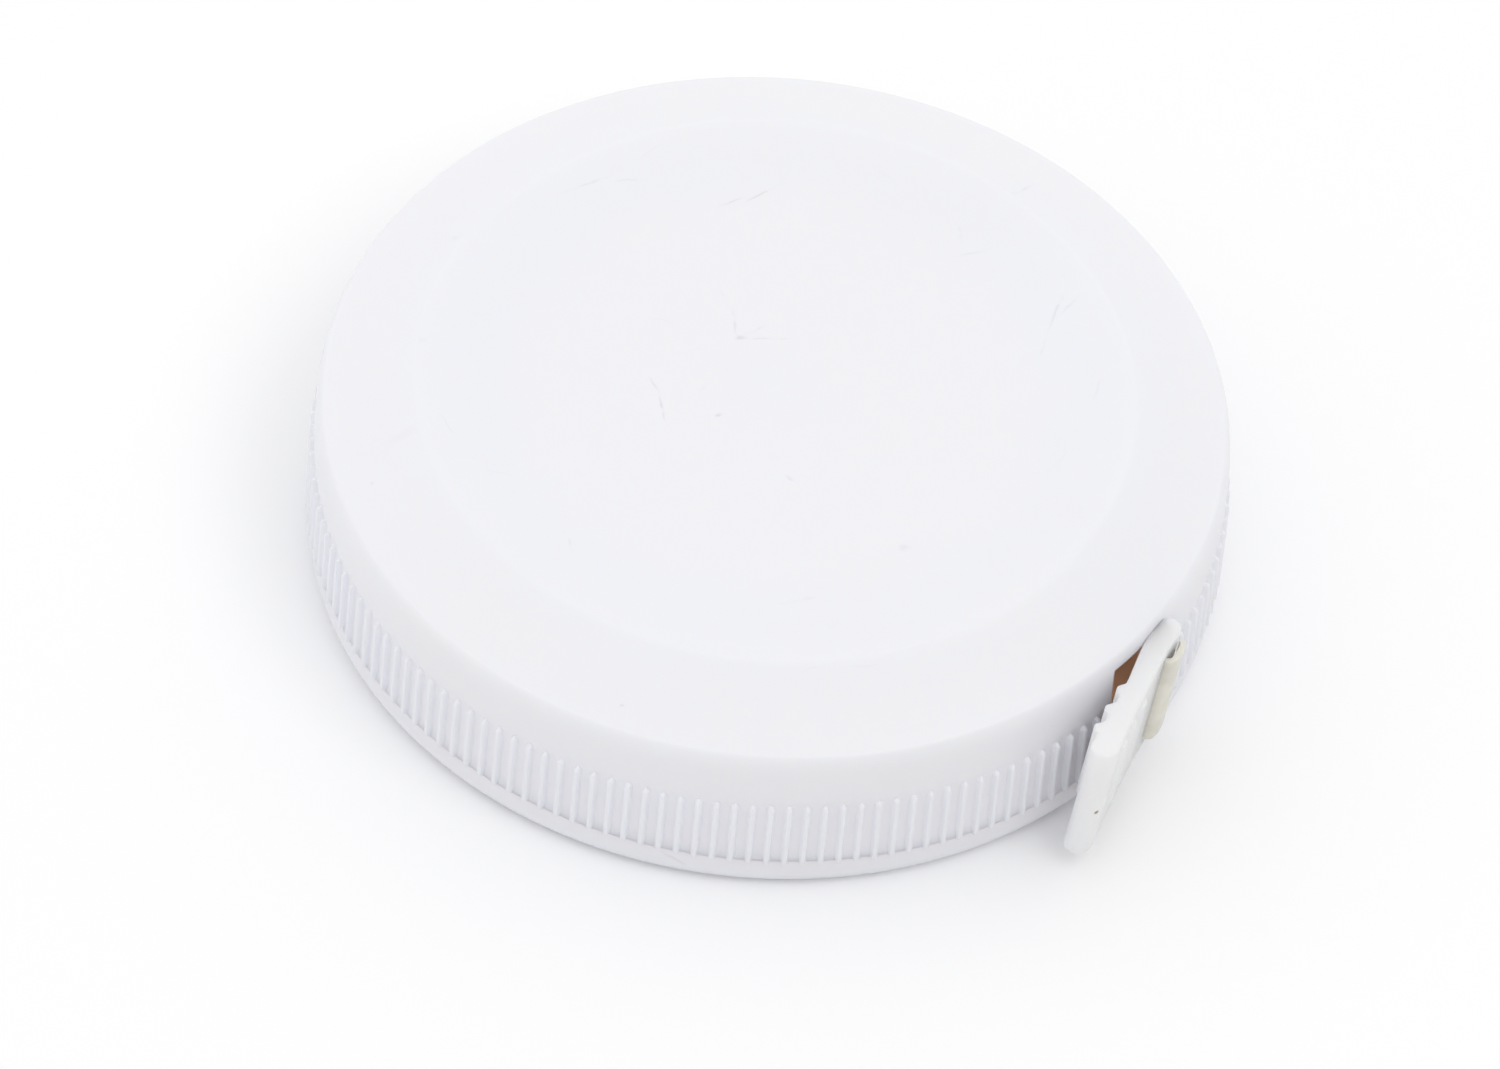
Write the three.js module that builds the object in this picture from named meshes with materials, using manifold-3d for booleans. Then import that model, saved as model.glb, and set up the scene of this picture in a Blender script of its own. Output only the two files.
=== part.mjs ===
// A pocket tape measure in a round moulded case, for sewing: the spring-wound tape leaves a slot in the
// ribbed wall and ends in a grip tab, and a button in the underside lifts a friction brake off the reel.
// Units are millimetres and +Z is up. The origin is on the reel's axis, in the plane that the case rests on.

import * as THREE from 'three';
import { mergeVertices } from 'three/addons/utils/BufferGeometryUtils.js';
import Module from 'manifold-3d';

const wasm = await Module();
wasm.setup();

// Clearances between pieces
const clearance = {
  seam: 0.3,        // line between the two case halves
  seat: 0.3,        // piece beside the one that carries it
  fit: 0.15,        // pin, screw or rod in its hole
  running: 0.2,     // turning piece round its post
  face: 0.05,       // two faces that slide on each other
};
const overrun = 1;  // how far a cutter passes through what it cuts

// Tape
const tape = {
  length: 1500,
  width: 7,
  thickness: 0.32,
};

// Case: its walls, and the raised centre with the sloping ring round it
const wallThickness = 1.35;
const topThickness = 1;
const rimThickness = 0.85;
const headroom = 0.25;                 // over the brake disc when the button is pressed
const shoulder = { out: 0.75, down: 1.7 };
const slopingRing = 5.75;
const plateauEdge = 1.1;
const rib = {
  proud: 0.25,
  count: 160,
  height: 0.4,
  length: 4.86,
  footShare: 0.6,
  crestShare: 0.26,
};

// Bottom cover
const cover = {
  height: 2.2,
  floor: 1,
  edgeRadius: 0.9,
  inset: 0.05,
  rimThickness: 0.4,
  rimHeight: 1.5,
  ringRadius: 17,
  ringWidth: 0.8,
  ringDepth: 0.25,
};

// Boss and centre post
const pocket = { radius: 4.8, chamfer: 0.4 };
const boss = { wall: 1.4, web: 1 };
const post = {
  radius: 3.5,
  boreRadius: 1.4,
  spigotRadius: 2.2,
  cupBoreRadius: 2.8,
  cupBoreDepth: 2.3,
  slotWidth: 0.7,
  slotDepth: 0.6,
};

// Reel
const reel = {
  hubRadius: 10.8,
  hubWall: 1,
  web: 0.5,
  flangeReach: 0.9,
  flange: 0.5,
  sideRoom: 0.5,
  lid: 0.5,
  lidRadius: 13.4,
  lidSpigotWall: 0.45,
  lidSpigotHeight: 0.2,
};
const washer = { thickness: 0.2, width: 2.2 };
const retainer = { thickness: 0.2, width: 1.35 };
const windingGap = 0.4;                // from the hub to the first turn
const windingRadius = 22.3;
const stepsPerTurn = 24;
const anchor = { width: 2.2, depth: 0.75, lead: 0.2, run: 1.75, keyRadius: 0.25 };
const spring = {
  strip: 0.2,
  turns: 7,
  above: 0.8,
  innerGap: 0.4,
  outerGap: 0.35,
  hookDepth: 0.42,
  hookRun: 0.6,
  notchWidth: 0.8,
  notchDepth: 0.5,
  stepsPerTurn: 16,
};
const shim = { thickness: 0.12 };

// Brake and button
const button = {
  radius: 4.5,
  recess: 0.35,
  height: 1.6,
  edge: 0.35,
  dish: 0.3,
  stemRadius: 1.2,
  travel: 0.8,
};
const brake = {
  ringInner: 8.5,
  ringOuter: 12.3,
  ringThickness: 0.3,
  discThickness: 0.6,
  cupWall: 0.45,
  cupFloor: 0.5,
  holeRadius: 0.7,
};
const peg = { count: 3, radius: 0.8, outside: 0.5, clear: 0.2 };
const coil = {
  wire: 0.18,
  radius: 1.65,
  turns: 4,
  stepsPerTurn: 10,
  sides: 5,
  seatRadius: 1,
  seatHeight: 0.7,
};
const screw = { headRadius: 1.15, headHeight: 0.6, shankRadius: 0.55, length: 2.6, edge: 0.25 };

// Way out of the tape and its tab
const pullAngle = -92.3;               // the tape's direction in the slot, degrees from +X
const channel = { left: 1.88, right: 0.84, start: 5, above: 0.75 };
const leadStart = 0.4;                 // from the tangent point to the lead's first edge
const tabAngle = -108;                 // the tab's direction from its tip, degrees from +X
const tab = {
  tipRight: 1.07,
  tipGap: 0.85,
  length: 10.85,
  rootThickness: 1.4,
  endThickness: 1.8,
  below: 0.7,
  above: 1.2,
  edge: 0.4,
  lean: 6,
  slitStart: 1.4,
  slitWidth: 0.75,
};
const grip = {
  count: 3,
  first: 5.79,
  pitch: 1.6,
  foot: 0.9,
  crest: 0.24,
  height: 0.36,
  rise: 2.9,
  drop: 0.12,
};
const tail = { bend: 0.45, gap: 0.1, curlAngle: 38 };

// Facets of round pieces
const facets = { large: 64, medium: 40, small: 24, pin: 10 };

// Radii that follow from the winding
const flangeRadius = windingRadius + reel.flangeReach;
const coverRimInner = flangeRadius + reel.sideRoom;
const coverRimOuter = coverRimInner + cover.rimThickness;
const shellInner = coverRimOuter + clearance.seat;
const bandRadius = shellInner + wallThickness;
const caseRadius = bandRadius + rib.proud;
const valleyRadius = caseRadius - rib.height;
const coverRadius = bandRadius - cover.inset;
const plateauRadius = bandRadius - slopingRing;
const leadDistance = windingRadius + clearance.seat + tape.thickness / 2;
const hubInner = reel.hubRadius - reel.hubWall;
const boreRadius = post.radius + clearance.running;
const bossRadius = pocket.radius + boss.wall;
const pegCircle = reel.lidRadius + peg.outside;
const discRadius = pegCircle + peg.radius;
const cupOuter = post.cupBoreRadius - clearance.running;
const cupInner = cupOuter - brake.cupWall;

// Levels, from the resting plane up
const shellFoot = cover.height + clearance.seam;
const ribTop = shellFoot + rib.length;
const tapeBottom = cover.height + clearance.face * 2;
const tapeTop = tapeBottom + tape.width;
const pocketTop = button.recess + button.height + button.travel + clearance.fit;
const bossTop = pocketTop + boss.web;
const webBottom = bossTop + washer.thickness + clearance.face * 2;
const webTop = webBottom + reel.web;
const flangeBottom = cover.floor + clearance.seat;
const flangeTop = flangeBottom + reel.flange;
const hubTop = tapeTop + clearance.face * 2;
const springTop = hubTop - spring.above;
const lidTop = hubTop + reel.lid;
const retainerBottom = lidTop + clearance.face;
const postTop = retainerBottom + retainer.thickness;
const brakeRingTop = lidTop + clearance.face + brake.ringThickness;
const discTop = brakeRingTop + brake.discThickness;
const cupBottom = postTop - post.cupBoreDepth + clearance.seat;
const cupTop = cupBottom + brake.cupFloor;
const pegBottom = lidTop + clearance.fit;
const ceiling = discTop + button.travel + headroom;
const caseHeight = ceiling + topThickness;
const slotBottom = cover.floor + clearance.seat;
const slotTop = tapeTop + channel.above;
const rimHeight = slotTop + rimThickness;
const tabBottom = tapeBottom - tab.below;
const tabTop = tapeTop + tab.above;

// Directions of the tape and the tab in plan, and the tab's tip just outside the wall
const pull = directionOf(pullAngle);
const pullRight = { x: -pull.y, y: pull.x };
const tabAlong = directionOf(tabAngle);
const tabRight = { x: -tabAlong.y, y: tabAlong.x };
const tipAcross = leadDistance + tab.tipRight;
const tabTip = inPull(tipAcross, Math.sqrt(caseRadius ** 2 - tipAcross ** 2) + tab.tipGap);

const materials = {
  shell: plastic(0xf3f4f8, 0.42),
  tab: plastic(0xf2f1ee, 0.35),
  inner: plastic(0xe6e4dc, 0.5),
  tape: plastic(0xd9dac8, 0.55),
  rubber: plastic(0x2c2c2e, 0.85),
  steel: metal(0x9a9ea4, 0.35),
  springSteel: metal(0x5d6470, 0.4),
};

const toolRoot = new THREE.Group();

addTopShell();
addBottomCover();
addCentrePost();
addWasher('thrust_washer', bossTop + clearance.face, washer.thickness, washer.width);
addReel();
addMainspring();
addTapeWinding();
addTapeKey();
addWasher('retaining_ring', retainerBottom, retainer.thickness, retainer.width);
addTapeLead();
addPullTab();
addButton();
addBrake();
addBrakeSpring();
addStemScrew();

export default toolRoot;

// Top shell: a turned cup with a ring of ribs, three pegs, a spring seat and the tape slot
function addTopShell() {
  const plateauDrop = caseHeight - rimHeight;
  const shoulderFoot = bandRadius - shoulder.out;
  const slope = Math.atan2(plateauDrop, shoulderFoot - plateauRadius - plateauEdge);
  const shoulderEnd = degrees(Math.atan2(shoulder.down, shoulder.out * Math.tan(slope)));
  const outer = [
    [shellInner, shellFoot],
    [valleyRadius - clearance.fit, shellFoot],
    [valleyRadius - clearance.fit, ribTop],
    [bandRadius, ribTop + clearance.fit],
    ...oval(shoulderFoot, rimHeight - shoulder.down, shoulder.out, shoulder.down, 0, shoulderEnd, 6),
    ...softEdge(slope),
    [0, caseHeight],
  ];
  const innerPlateau = plateauRadius - topThickness / 2;
  const inner = [
    [0, ceiling],
    [innerPlateau, ceiling],
    [innerPlateau + (ceiling - slotTop) / Math.tan(slope), slotTop],
    [shellInner, slotTop],
  ];
  const ribbedWall = prism(ribbedOutline(), shellFoot, ribTop, [circlePath(shellInner + clearance.fit)]);
  let shell = solid(turned([...outer, ...inner, outer[0]], facets.large)).add(solid(ribbedWall));
  for (let i = 0; i < peg.count; i++) {
    const at = polar(pegCircle, 90 + i * 360 / peg.count);
    shell = shell.add(solid(moved(rod(peg.radius, pegBottom, ceiling + topThickness / 2), at)));
  }
  shell = shell.add(solid(rod(coil.seatRadius, ceiling - coil.seatHeight, ceiling + topThickness / 2)));
  add('top_shell', geometry(shell.subtract(solid(slotCutter()))), materials.shell);
}

// The outline of the plateau's soft edge, from the top of the slope inwards
function softEdge(slope) {
  const radius = plateauEdge / Math.tan(slope / 2);
  const centre = { r: plateauRadius, z: caseHeight - radius };
  return arc(centre.r, centre.z, radius, 90 - degrees(slope), 90, 4);
}

// One closed outline round all ribs: a flat crest on a sloping foot, over the valley circle.
// No rib stands where the slot takes its foot away.
function ribbedOutline() {
  const pitch = 360 / rib.count;
  const profile = [
    [-rib.footShare / 2, valleyRadius],
    [-rib.crestShare / 2, caseRadius],
    [rib.crestShare / 2, caseRadius],
    [rib.footShare / 2, valleyRadius],
  ];
  const corners = [];
  for (let i = 0; i < rib.count; i++) {
    if (overSlot(polar(valleyRadius, i * pitch))) continue;
    for (const [share, radius] of profile) corners.push(polar(radius, (i + share) * pitch));
  }
  return outline(corners);
}

function overSlot(at) {
  const across = at.x * pullRight.x + at.y * pullRight.y - leadDistance;
  return alongPullOf(at) > channel.start && across > -channel.left && across < channel.right;
}

// The slot is a straight channel through the wall along the tape's own direction, tall enough for the
// tab's tip to nest in its mouth
function slotCutter() {
  const corners = [
    inPull(leadDistance - channel.left, channel.start),
    inPull(leadDistance + channel.right, channel.start),
    inPull(leadDistance + channel.right, caseRadius),
    inPull(leadDistance - channel.left, caseRadius),
  ];
  return prism(outline(corners), slotBottom, slotTop);
}

// Bottom cover: floor, plain outer band, locating rim and the boss that holds the post and the button
function addBottomCover() {
  const ringInner = cover.ringRadius - cover.ringWidth / 2;
  const ringOuter = cover.ringRadius + cover.ringWidth / 2;
  const profile = [
    [post.spigotRadius + clearance.fit, pocketTop],
    [pocket.radius, pocketTop],
    [pocket.radius, pocket.chamfer],
    [pocket.radius + pocket.chamfer, 0],
    [ringInner, 0],
    [ringInner, cover.ringDepth],
    [ringOuter, cover.ringDepth],
    [ringOuter, 0],
    ...arc(coverRadius - cover.edgeRadius, cover.edgeRadius, cover.edgeRadius, -90, 0, 4),
    [coverRadius, cover.height],
    [coverRimOuter, cover.height],
    [coverRimOuter, cover.height + cover.rimHeight],
    [coverRimInner, cover.height + cover.rimHeight],
    [coverRimInner, cover.floor],
    [bossRadius, cover.floor],
    [bossRadius, bossTop],
    [post.spigotRadius + clearance.fit, bossTop],
  ];
  const body = solid(turned([...profile, profile[0]], facets.large));
  add('bottom_cover', geometry(body.subtract(solid(slotCutter()))), materials.shell);
}

// Centre post: spigot, shoulder, wide upper bore for the brake's cup, and a slot for the mainspring
function addCentrePost() {
  const profile = [
    [post.boreRadius, pocketTop],
    [post.spigotRadius, pocketTop],
    [post.spigotRadius, bossTop],
    [post.radius, bossTop],
    [post.radius, postTop],
    [post.cupBoreRadius, postTop],
    [post.cupBoreRadius, postTop - post.cupBoreDepth],
    [post.boreRadius, postTop - post.cupBoreDepth],
  ];
  const slot = moved(
    block(post.slotDepth + overrun, post.slotWidth, webTop, springTop + clearance.fit),
    { x: post.radius - post.slotDepth + (post.slotDepth + overrun) / 2, y: 0 },
  );
  const body = solid(turned([...profile, profile[0]], facets.small)).subtract(solid(slot));
  add('centre_post', geometry(body), materials.inner);
}

// A flat ring round the post
function addWasher(name, bottom, thickness, width) {
  const inner = post.radius + clearance.fit;
  const section = ringProfile(inner, inner + width, bottom, bottom + thickness);
  add(name, turned(section, facets.small), materials.steel);
}

// Reel: the drum with its hub, web and flange, and the lid over the spring chamber
function addReel() {
  const drum = [
    [boreRadius, webBottom],
    [hubInner, webBottom],
    [hubInner, flangeBottom],
    [flangeRadius, flangeBottom],
    [flangeRadius, flangeTop],
    [reel.hubRadius, flangeTop],
    [reel.hubRadius, hubTop],
    [hubInner, hubTop],
    [hubInner, webTop],
    [boreRadius, webTop],
  ];
  const groove = turnedAbout(
    moved(block(anchor.depth + overrun, anchor.width, flangeTop, hubTop + overrun), {
      x: reel.hubRadius - anchor.depth + (anchor.depth + overrun) / 2,
      y: 0,
    }),
    windingStart(),
  );
  const notch = turnedAbout(
    moved(block(spring.notchDepth + overrun, spring.notchWidth, webTop, hubTop + overrun), {
      x: hubInner + spring.notchDepth - (spring.notchDepth + overrun) / 2,
      y: 0,
    }),
    springEnd(),
  );
  const body = solid(turned([...drum, drum[0]], facets.medium));
  add('reel_drum', geometry(body.subtract(solid(groove)).subtract(solid(notch))), materials.inner);

  const spigotOuter = hubInner - clearance.fit * 2;
  const spigotInner = spigotOuter - reel.lidSpigotWall;
  const lid = [
    [boreRadius, hubTop],
    [spigotInner, hubTop],
    [spigotInner, hubTop - reel.lidSpigotHeight],
    [spigotOuter, hubTop - reel.lidSpigotHeight],
    [spigotOuter, hubTop],
    [reel.lidRadius, hubTop],
    [reel.lidRadius, lidTop],
    [boreRadius, lidTop],
  ];
  add('drum_lid', turned([...lid, lid[0]], facets.medium), materials.inner);

  const shimBottom = springTop + clearance.fit;
  const shimOuter = hubInner - clearance.seat;
  const shimRing = ringProfile(boreRadius, shimOuter, shimBottom, shimBottom + shim.thickness);
  add('spring_shim', turned(shimRing, facets.small), materials.tape);
}

// Mainspring: a flat spiral whose ends hook into the post's slot and the hub's notch
function addMainspring() {
  const first = post.radius + spring.innerGap;
  const last = hubInner - spring.outerGap;
  const path = [
    polar(post.radius - spring.hookDepth, 0),
    polar(first - spring.strip, degrees(spring.hookRun / first) / 2),
  ];
  const steps = spring.turns * spring.stepsPerTurn;
  for (let i = 1; i <= steps; i++) {
    path.push(polar(first + (last - first) * i / steps, 360 * spring.turns * i / steps));
  }
  path.push(polar(hubInner + spring.notchDepth - clearance.fit, springEnd()));
  const top = springTop - clearance.fit;
  add('mainspring', strip(path, spring.strip, webTop + clearance.fit, top), materials.springSteel);
}

// Direction in which the mainspring's outer hook points, degrees from +X
function springEnd() {
  return 360 * spring.turns + degrees(spring.hookRun / hubInner);
}

// Tape winding: one unbroken spiral of the tape's own length, less what lies outside it
function windingTurns() {
  const inner = reel.hubRadius + windingGap + tape.thickness / 2;
  const outer = windingRadius - tape.thickness / 2;
  return (tape.length - leadPathLength()) / (Math.PI * (inner + outer));
}

// Direction of the winding's inner end, degrees from +X, which puts its outer end at the lead
function windingStart() {
  return pullAngle + 90 + windingTurns() * 360;
}

function addTapeWinding() {
  const inner = reel.hubRadius + windingGap + tape.thickness / 2;
  const outer = windingRadius - tape.thickness / 2;
  const turns = windingTurns();
  const steps = Math.round(turns * stepsPerTurn);
  const start = windingStart();
  const join = degrees(anchor.run / inner);
  const path = [polar(reel.hubRadius - anchor.lead, start), polar(inner, start - join)];
  for (let i = 0; i <= steps; i++) {
    const angle = 360 * turns * i / steps;
    if (angle > join) path.push(polar(inner + (outer - inner) * i / steps, start - angle));
  }
  const pitch = (outer - inner) / turns;
  const leastGap = pitch * Math.cos(Math.PI / stepsPerTurn) - tape.thickness;
  const whole = pathLength(path) + leadPathLength();
  console.log(`tape: ${turns.toFixed(2)} turns, ${whole.toFixed(0)} mm`);
  console.log(`least gap between turns: ${leastGap.toFixed(3)} mm`);
  add('tape_winding', strip(path, tape.thickness, tapeBottom, tapeTop), materials.tape);
}

// Tape key: the rod that pins the inner end in the hub's groove
function addTapeKey() {
  const from = reel.hubRadius - anchor.depth / 2;
  const offset = tape.thickness / 2 + anchor.keyRadius + clearance.fit;
  const at = polar(from, windingStart() + degrees(offset / from));
  add('tape_key', moved(rod(anchor.keyRadius, flangeTop + clearance.fit, tapeTop), at), materials.inner);
}

// Tape lead: straight out of the coil, beside the tab's tip, through its slit and back round the tip
function leadPath() {
  const half = tab.rootThickness / 2;
  const beside = leadBeside();
  const behind = half + tail.gap + tape.thickness / 2;
  const turn = tab.slitStart + tab.slitWidth / 2 - tail.bend;
  return [
    inPull(leadDistance, leadStart),
    inPull(leadDistance, alongPullOf(inTab(0, beside))),
    ...arc(turn, beside + tail.bend, tail.bend, -90, 0, 3).map(([along, right]) => inTab(along, right)),
    ...arc(turn, behind - tail.bend, tail.bend, 0, 90, 3).map(([along, right]) => inTab(along, right)),
    ...arc(half, 0, behind, 90, 90 + tail.curlAngle, 3).map(([along, right]) => inTab(along, right)),
  ];
}

function leadBeside() {
  return -(tab.rootThickness + tape.thickness) / 2 - clearance.fit;
}

function leadPathLength() {
  return pathLength(leadPath());
}

// The lead stands upright at the coil and twists until it leans with the tab
function addTapeLead() {
  const shape = strip(leadPath(), tape.thickness, tapeBottom, tapeTop);
  const twistEnd = alongPullOf(inTab(0, leadBeside()));
  const shareAt = (at) => (alongPullOf(at) - leadStart) / (twistEnd - leadStart);
  add('tape_lead', leaned(shape, shareAt), materials.tape);
}

// Shifts a shape sideways below the tab's top, in full or by the share given for each place
function leaned(shape, shareAt) {
  const position = shape.getAttribute('position');
  for (let i = 0; i < position.count; i++) {
    const at = { x: position.getX(i), y: position.getY(i) };
    const share = THREE.MathUtils.clamp(shareAt(at), 0, 1);
    const shift = -Math.tan(radians(tab.lean)) * (tabTop - position.getZ(i)) * share;
    position.setXY(i, at.x + tabRight.x * shift, at.y + tabRight.y * shift);
  }
  return shape;
}

// Pull tab: a flat plate with a round tip, a slit for the tape and ridges on both faces,
// leaning outside its root
function addPullTab() {
  const root = tab.rootThickness / 2;
  const end = tab.endThickness / 2;
  const plate = new THREE.Shape();
  plate.moveTo(root, -root);
  plate.lineTo(tab.length - end, -end);
  plate.lineTo(tab.length, -end / 2);
  plate.lineTo(tab.length, end / 2);
  plate.lineTo(tab.length - end, end);
  plate.lineTo(root, root);
  plate.absarc(root, 0, root, Math.PI / 2, Math.PI * 3 / 2, false);
  let body = solid(new THREE.ExtrudeGeometry(plate, {
    depth: tabTop - tabBottom - tab.edge * 2,
    bevelEnabled: true,
    bevelThickness: tab.edge,
    bevelSize: tab.edge,
    bevelOffset: -tab.edge,
    bevelSegments: 2,
    curveSegments: facets.pin / 2,
  }).translate(0, 0, tabBottom + tab.edge));
  for (const side of [-1, 1]) {
    for (let i = 0; i < grip.count; i++) {
      const middle = grip.first + i * grip.pitch;
      const face = root + (end - root) * middle / tab.length;
      const ridge = [
        { x: middle - grip.foot / 2, y: 0 },
        { x: middle + grip.foot / 2, y: 0 },
        { x: middle + grip.foot / 2, y: side * face },
        { x: middle + grip.crest / 2, y: side * (face + grip.height) },
        { x: middle - grip.crest / 2, y: side * (face + grip.height) },
        { x: middle - grip.foot / 2, y: side * face },
      ];
      body = body.add(solid(prism(outline(ridge), tabBottom + grip.rise, tabTop - grip.drop)));
    }
  }
  const slitDepth = tab.rootThickness + overrun * 2;
  const slit = moved(
    block(tab.slitWidth, slitDepth, tapeBottom - clearance.fit, tapeTop + clearance.fit),
    { x: tab.slitStart + tab.slitWidth / 2, y: 0 },
  );
  body = body.subtract(solid(slit));
  const plan = geometry(body);
  const position = plan.getAttribute('position');
  for (let i = 0; i < position.count; i++) {
    const at = inTab(position.getX(i), position.getY(i));
    position.setXY(i, at.x, at.y);
  }
  add('pull_tab', leaned(plan, () => 1), materials.tab);
}

// Release button: a dished head in the cover's pocket and a stem through the post
function addButton() {
  const head = button.recess + button.height;
  const profile = [
    [0, button.recess + button.dish],
    [button.radius / 2, button.recess + button.dish * 2 / 3],
    [button.radius - button.edge * 2, button.recess],
    [button.radius - button.edge / 2, button.recess],
    [button.radius, button.recess + button.edge],
    [button.radius, head],
    [button.stemRadius, head],
    [button.stemRadius, cupBottom],
    [brake.holeRadius, cupBottom],
    [brake.holeRadius, cupBottom - screw.length],
    [0, cupBottom - screw.length],
  ];
  add('release_button', turned(profile, facets.small), materials.shell);
}

// Brake: the keyed disc with its cup for the spring, and the rubber ring under it
function addBrake() {
  const profile = [
    [brake.holeRadius, cupBottom],
    [cupOuter, cupBottom],
    [cupOuter, brakeRingTop],
    [discRadius, brakeRingTop],
    [discRadius, discTop],
    [cupInner, discTop],
    [cupInner, cupTop],
    [brake.holeRadius, cupTop],
  ];
  let disc = solid(turned([...profile, profile[0]], facets.medium));
  for (let i = 0; i < peg.count; i++) {
    const width = (peg.radius + peg.clear) * 2;
    const reach = discRadius - pegCircle + peg.radius + peg.clear + overrun;
    const notch = moved(block(reach, width, brakeRingTop - overrun, discTop + overrun), {
      x: discRadius + overrun - reach / 2,
      y: 0,
    });
    disc = disc.subtract(solid(turnedAbout(notch, 90 + i * 360 / peg.count)));
  }
  add('brake_disc', geometry(disc), materials.inner);
  const ringBottom = brakeRingTop - brake.ringThickness;
  const ring = ringProfile(brake.ringInner, brake.ringOuter, ringBottom, brakeRingTop);
  add('brake_ring', turned(ring, facets.small), materials.rubber);
}

// Brake spring: a wire helix between the cup's floor and the shell's ceiling
function addBrakeSpring() {
  const from = cupTop + coil.wire + clearance.face;
  const to = ceiling - coil.wire - clearance.face;
  const points = [];
  const faces = [];
  const steps = coil.turns * coil.stepsPerTurn;
  for (let i = 0; i <= steps; i++) {
    const turn = Math.PI * 2 * coil.turns * i / steps;
    for (let k = 0; k < coil.sides; k++) {
      const round = Math.PI * 2 * k / coil.sides;
      const radius = coil.radius + coil.wire * Math.cos(round);
      points.push(
        radius * Math.cos(turn),
        radius * Math.sin(turn),
        from + (to - from) * i / steps + coil.wire * Math.sin(round),
      );
      if (i === steps) continue;
      const a = i * coil.sides + k;
      const b = i * coil.sides + (k + 1) % coil.sides;
      faces.push(a, a + coil.sides, b, b, a + coil.sides, b + coil.sides);
    }
  }
  for (let k = 1; k < coil.sides - 1; k++) {
    const last = steps * coil.sides;
    faces.push(0, k, k + 1, last, last + k + 1, last + k);
  }
  const helix = new THREE.BufferGeometry();
  helix.setAttribute('position', new THREE.Float32BufferAttribute(points, 3));
  helix.setIndex(faces);
  add('brake_spring', helix, materials.steel);
}

// Stem screw: holds the brake disc on the button's stem
function addStemScrew() {
  const end = cupBottom - screw.length + clearance.seat;
  const profile = [
    [0, end],
    [screw.shankRadius, end],
    [screw.shankRadius, cupTop],
    [screw.headRadius, cupTop],
    [screw.headRadius, cupTop + screw.headHeight - screw.edge],
    [screw.headRadius - screw.edge, cupTop + screw.headHeight],
    [0, cupTop + screw.headHeight],
  ];
  add('stem_screw', turned(profile, facets.pin * 2), materials.steel);
}

// Places in plan
function directionOf(angle) {
  return { x: Math.cos(radians(angle)), y: Math.sin(radians(angle)) };
}

function polar(radius, angle) {
  return { x: radius * Math.cos(radians(angle)), y: radius * Math.sin(radians(angle)) };
}

// A place by its distance from the axis across the tape's direction, and along that direction
function inPull(across, along) {
  return {
    x: pullRight.x * across + pull.x * along,
    y: pullRight.y * across + pull.y * along,
  };
}

function alongPullOf(at) {
  return at.x * pull.x + at.y * pull.y;
}

// A place by its distance along the tab from the tip, and to the right of its middle
function inTab(along, right) {
  return {
    x: tabTip.x + tabAlong.x * along + tabRight.x * right,
    y: tabTip.y + tabAlong.y * along + tabRight.y * right,
  };
}

function radians(angle) {
  return THREE.MathUtils.degToRad(angle);
}

function degrees(angle) {
  return THREE.MathUtils.radToDeg(angle);
}

function pathLength(path) {
  let sum = 0;
  for (let i = 1; i < path.length; i++) {
    sum += Math.hypot(path[i].x - path[i - 1].x, path[i].y - path[i - 1].y);
  }
  return sum;
}

// Shapes
function arc(r, z, radius, from, to, steps) {
  return oval(r, z, radius, radius, from, to, steps);
}

function oval(r, z, across, up, from, to, steps) {
  const points = [];
  for (let i = 0; i <= steps; i++) {
    const angle = radians(from + (to - from) * i / steps);
    points.push([r + across * Math.cos(angle), z + up * Math.sin(angle)]);
  }
  return points;
}

function ringProfile(inner, outer, bottom, top) {
  return [[inner, bottom], [outer, bottom], [outer, top], [inner, top], [inner, bottom]];
}

// A profile of [radius, height] points turned round the Z axis
function turned(profile, segments) {
  const points = profile.map(([r, z]) => new THREE.Vector2(r, z));
  return new THREE.LatheGeometry(points, segments).rotateX(Math.PI / 2);
}

function circlePath(radius) {
  const path = new THREE.Path();
  for (let i = 0; i < facets.large; i++) {
    const at = polar(radius, 360 * i / facets.large);
    if (i === 0) path.moveTo(at.x, at.y);
    else path.lineTo(at.x, at.y);
  }
  return path;
}

function outline(corners) {
  return new THREE.Shape(corners.map((at) => new THREE.Vector2(at.x, at.y)));
}

function prism(shape, bottom, top, holes = []) {
  shape.holes.push(...holes);
  const depth = top - bottom;
  return new THREE.ExtrudeGeometry(shape, { depth, bevelEnabled: false }).translate(0, 0, bottom);
}

function rod(radius, bottom, top) {
  const height = top - bottom;
  return new THREE.CylinderGeometry(radius, radius, height, facets.pin)
    .rotateX(Math.PI / 2)
    .translate(0, 0, bottom + height / 2);
}

function block(length, width, bottom, top) {
  return new THREE.BoxGeometry(length, width, top - bottom).translate(0, 0, (bottom + top) / 2);
}

function moved(shape, at) {
  return shape.translate(at.x, at.y, 0);
}

function turnedAbout(shape, angle) {
  return shape.rotateZ(radians(angle));
}

// A strip of even thickness along a path in plan, standing on edge
function strip(path, thickness, bottom, top) {
  const left = [];
  const right = [];
  for (let i = 0; i < path.length; i++) {
    const before = path[Math.max(i - 1, 0)];
    const after = path[Math.min(i + 1, path.length - 1)];
    const here = path[i];
    const into = unit(i === 0 ? here : before, i === 0 ? after : here);
    const out = unit(i === path.length - 1 ? before : here, i === path.length - 1 ? here : after);
    const across = { x: -(into.y + out.y), y: into.x + out.x };
    const size = Math.hypot(across.x, across.y);
    const mitre = (-into.y * across.x + into.x * across.y) / size;
    const half = thickness / 2 / mitre / size;
    left.push({ x: here.x + across.x * half, y: here.y + across.y * half });
    right.unshift({ x: here.x - across.x * half, y: here.y - across.y * half });
  }
  return prism(outline([...left, ...right]), bottom, top);
}

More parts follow.
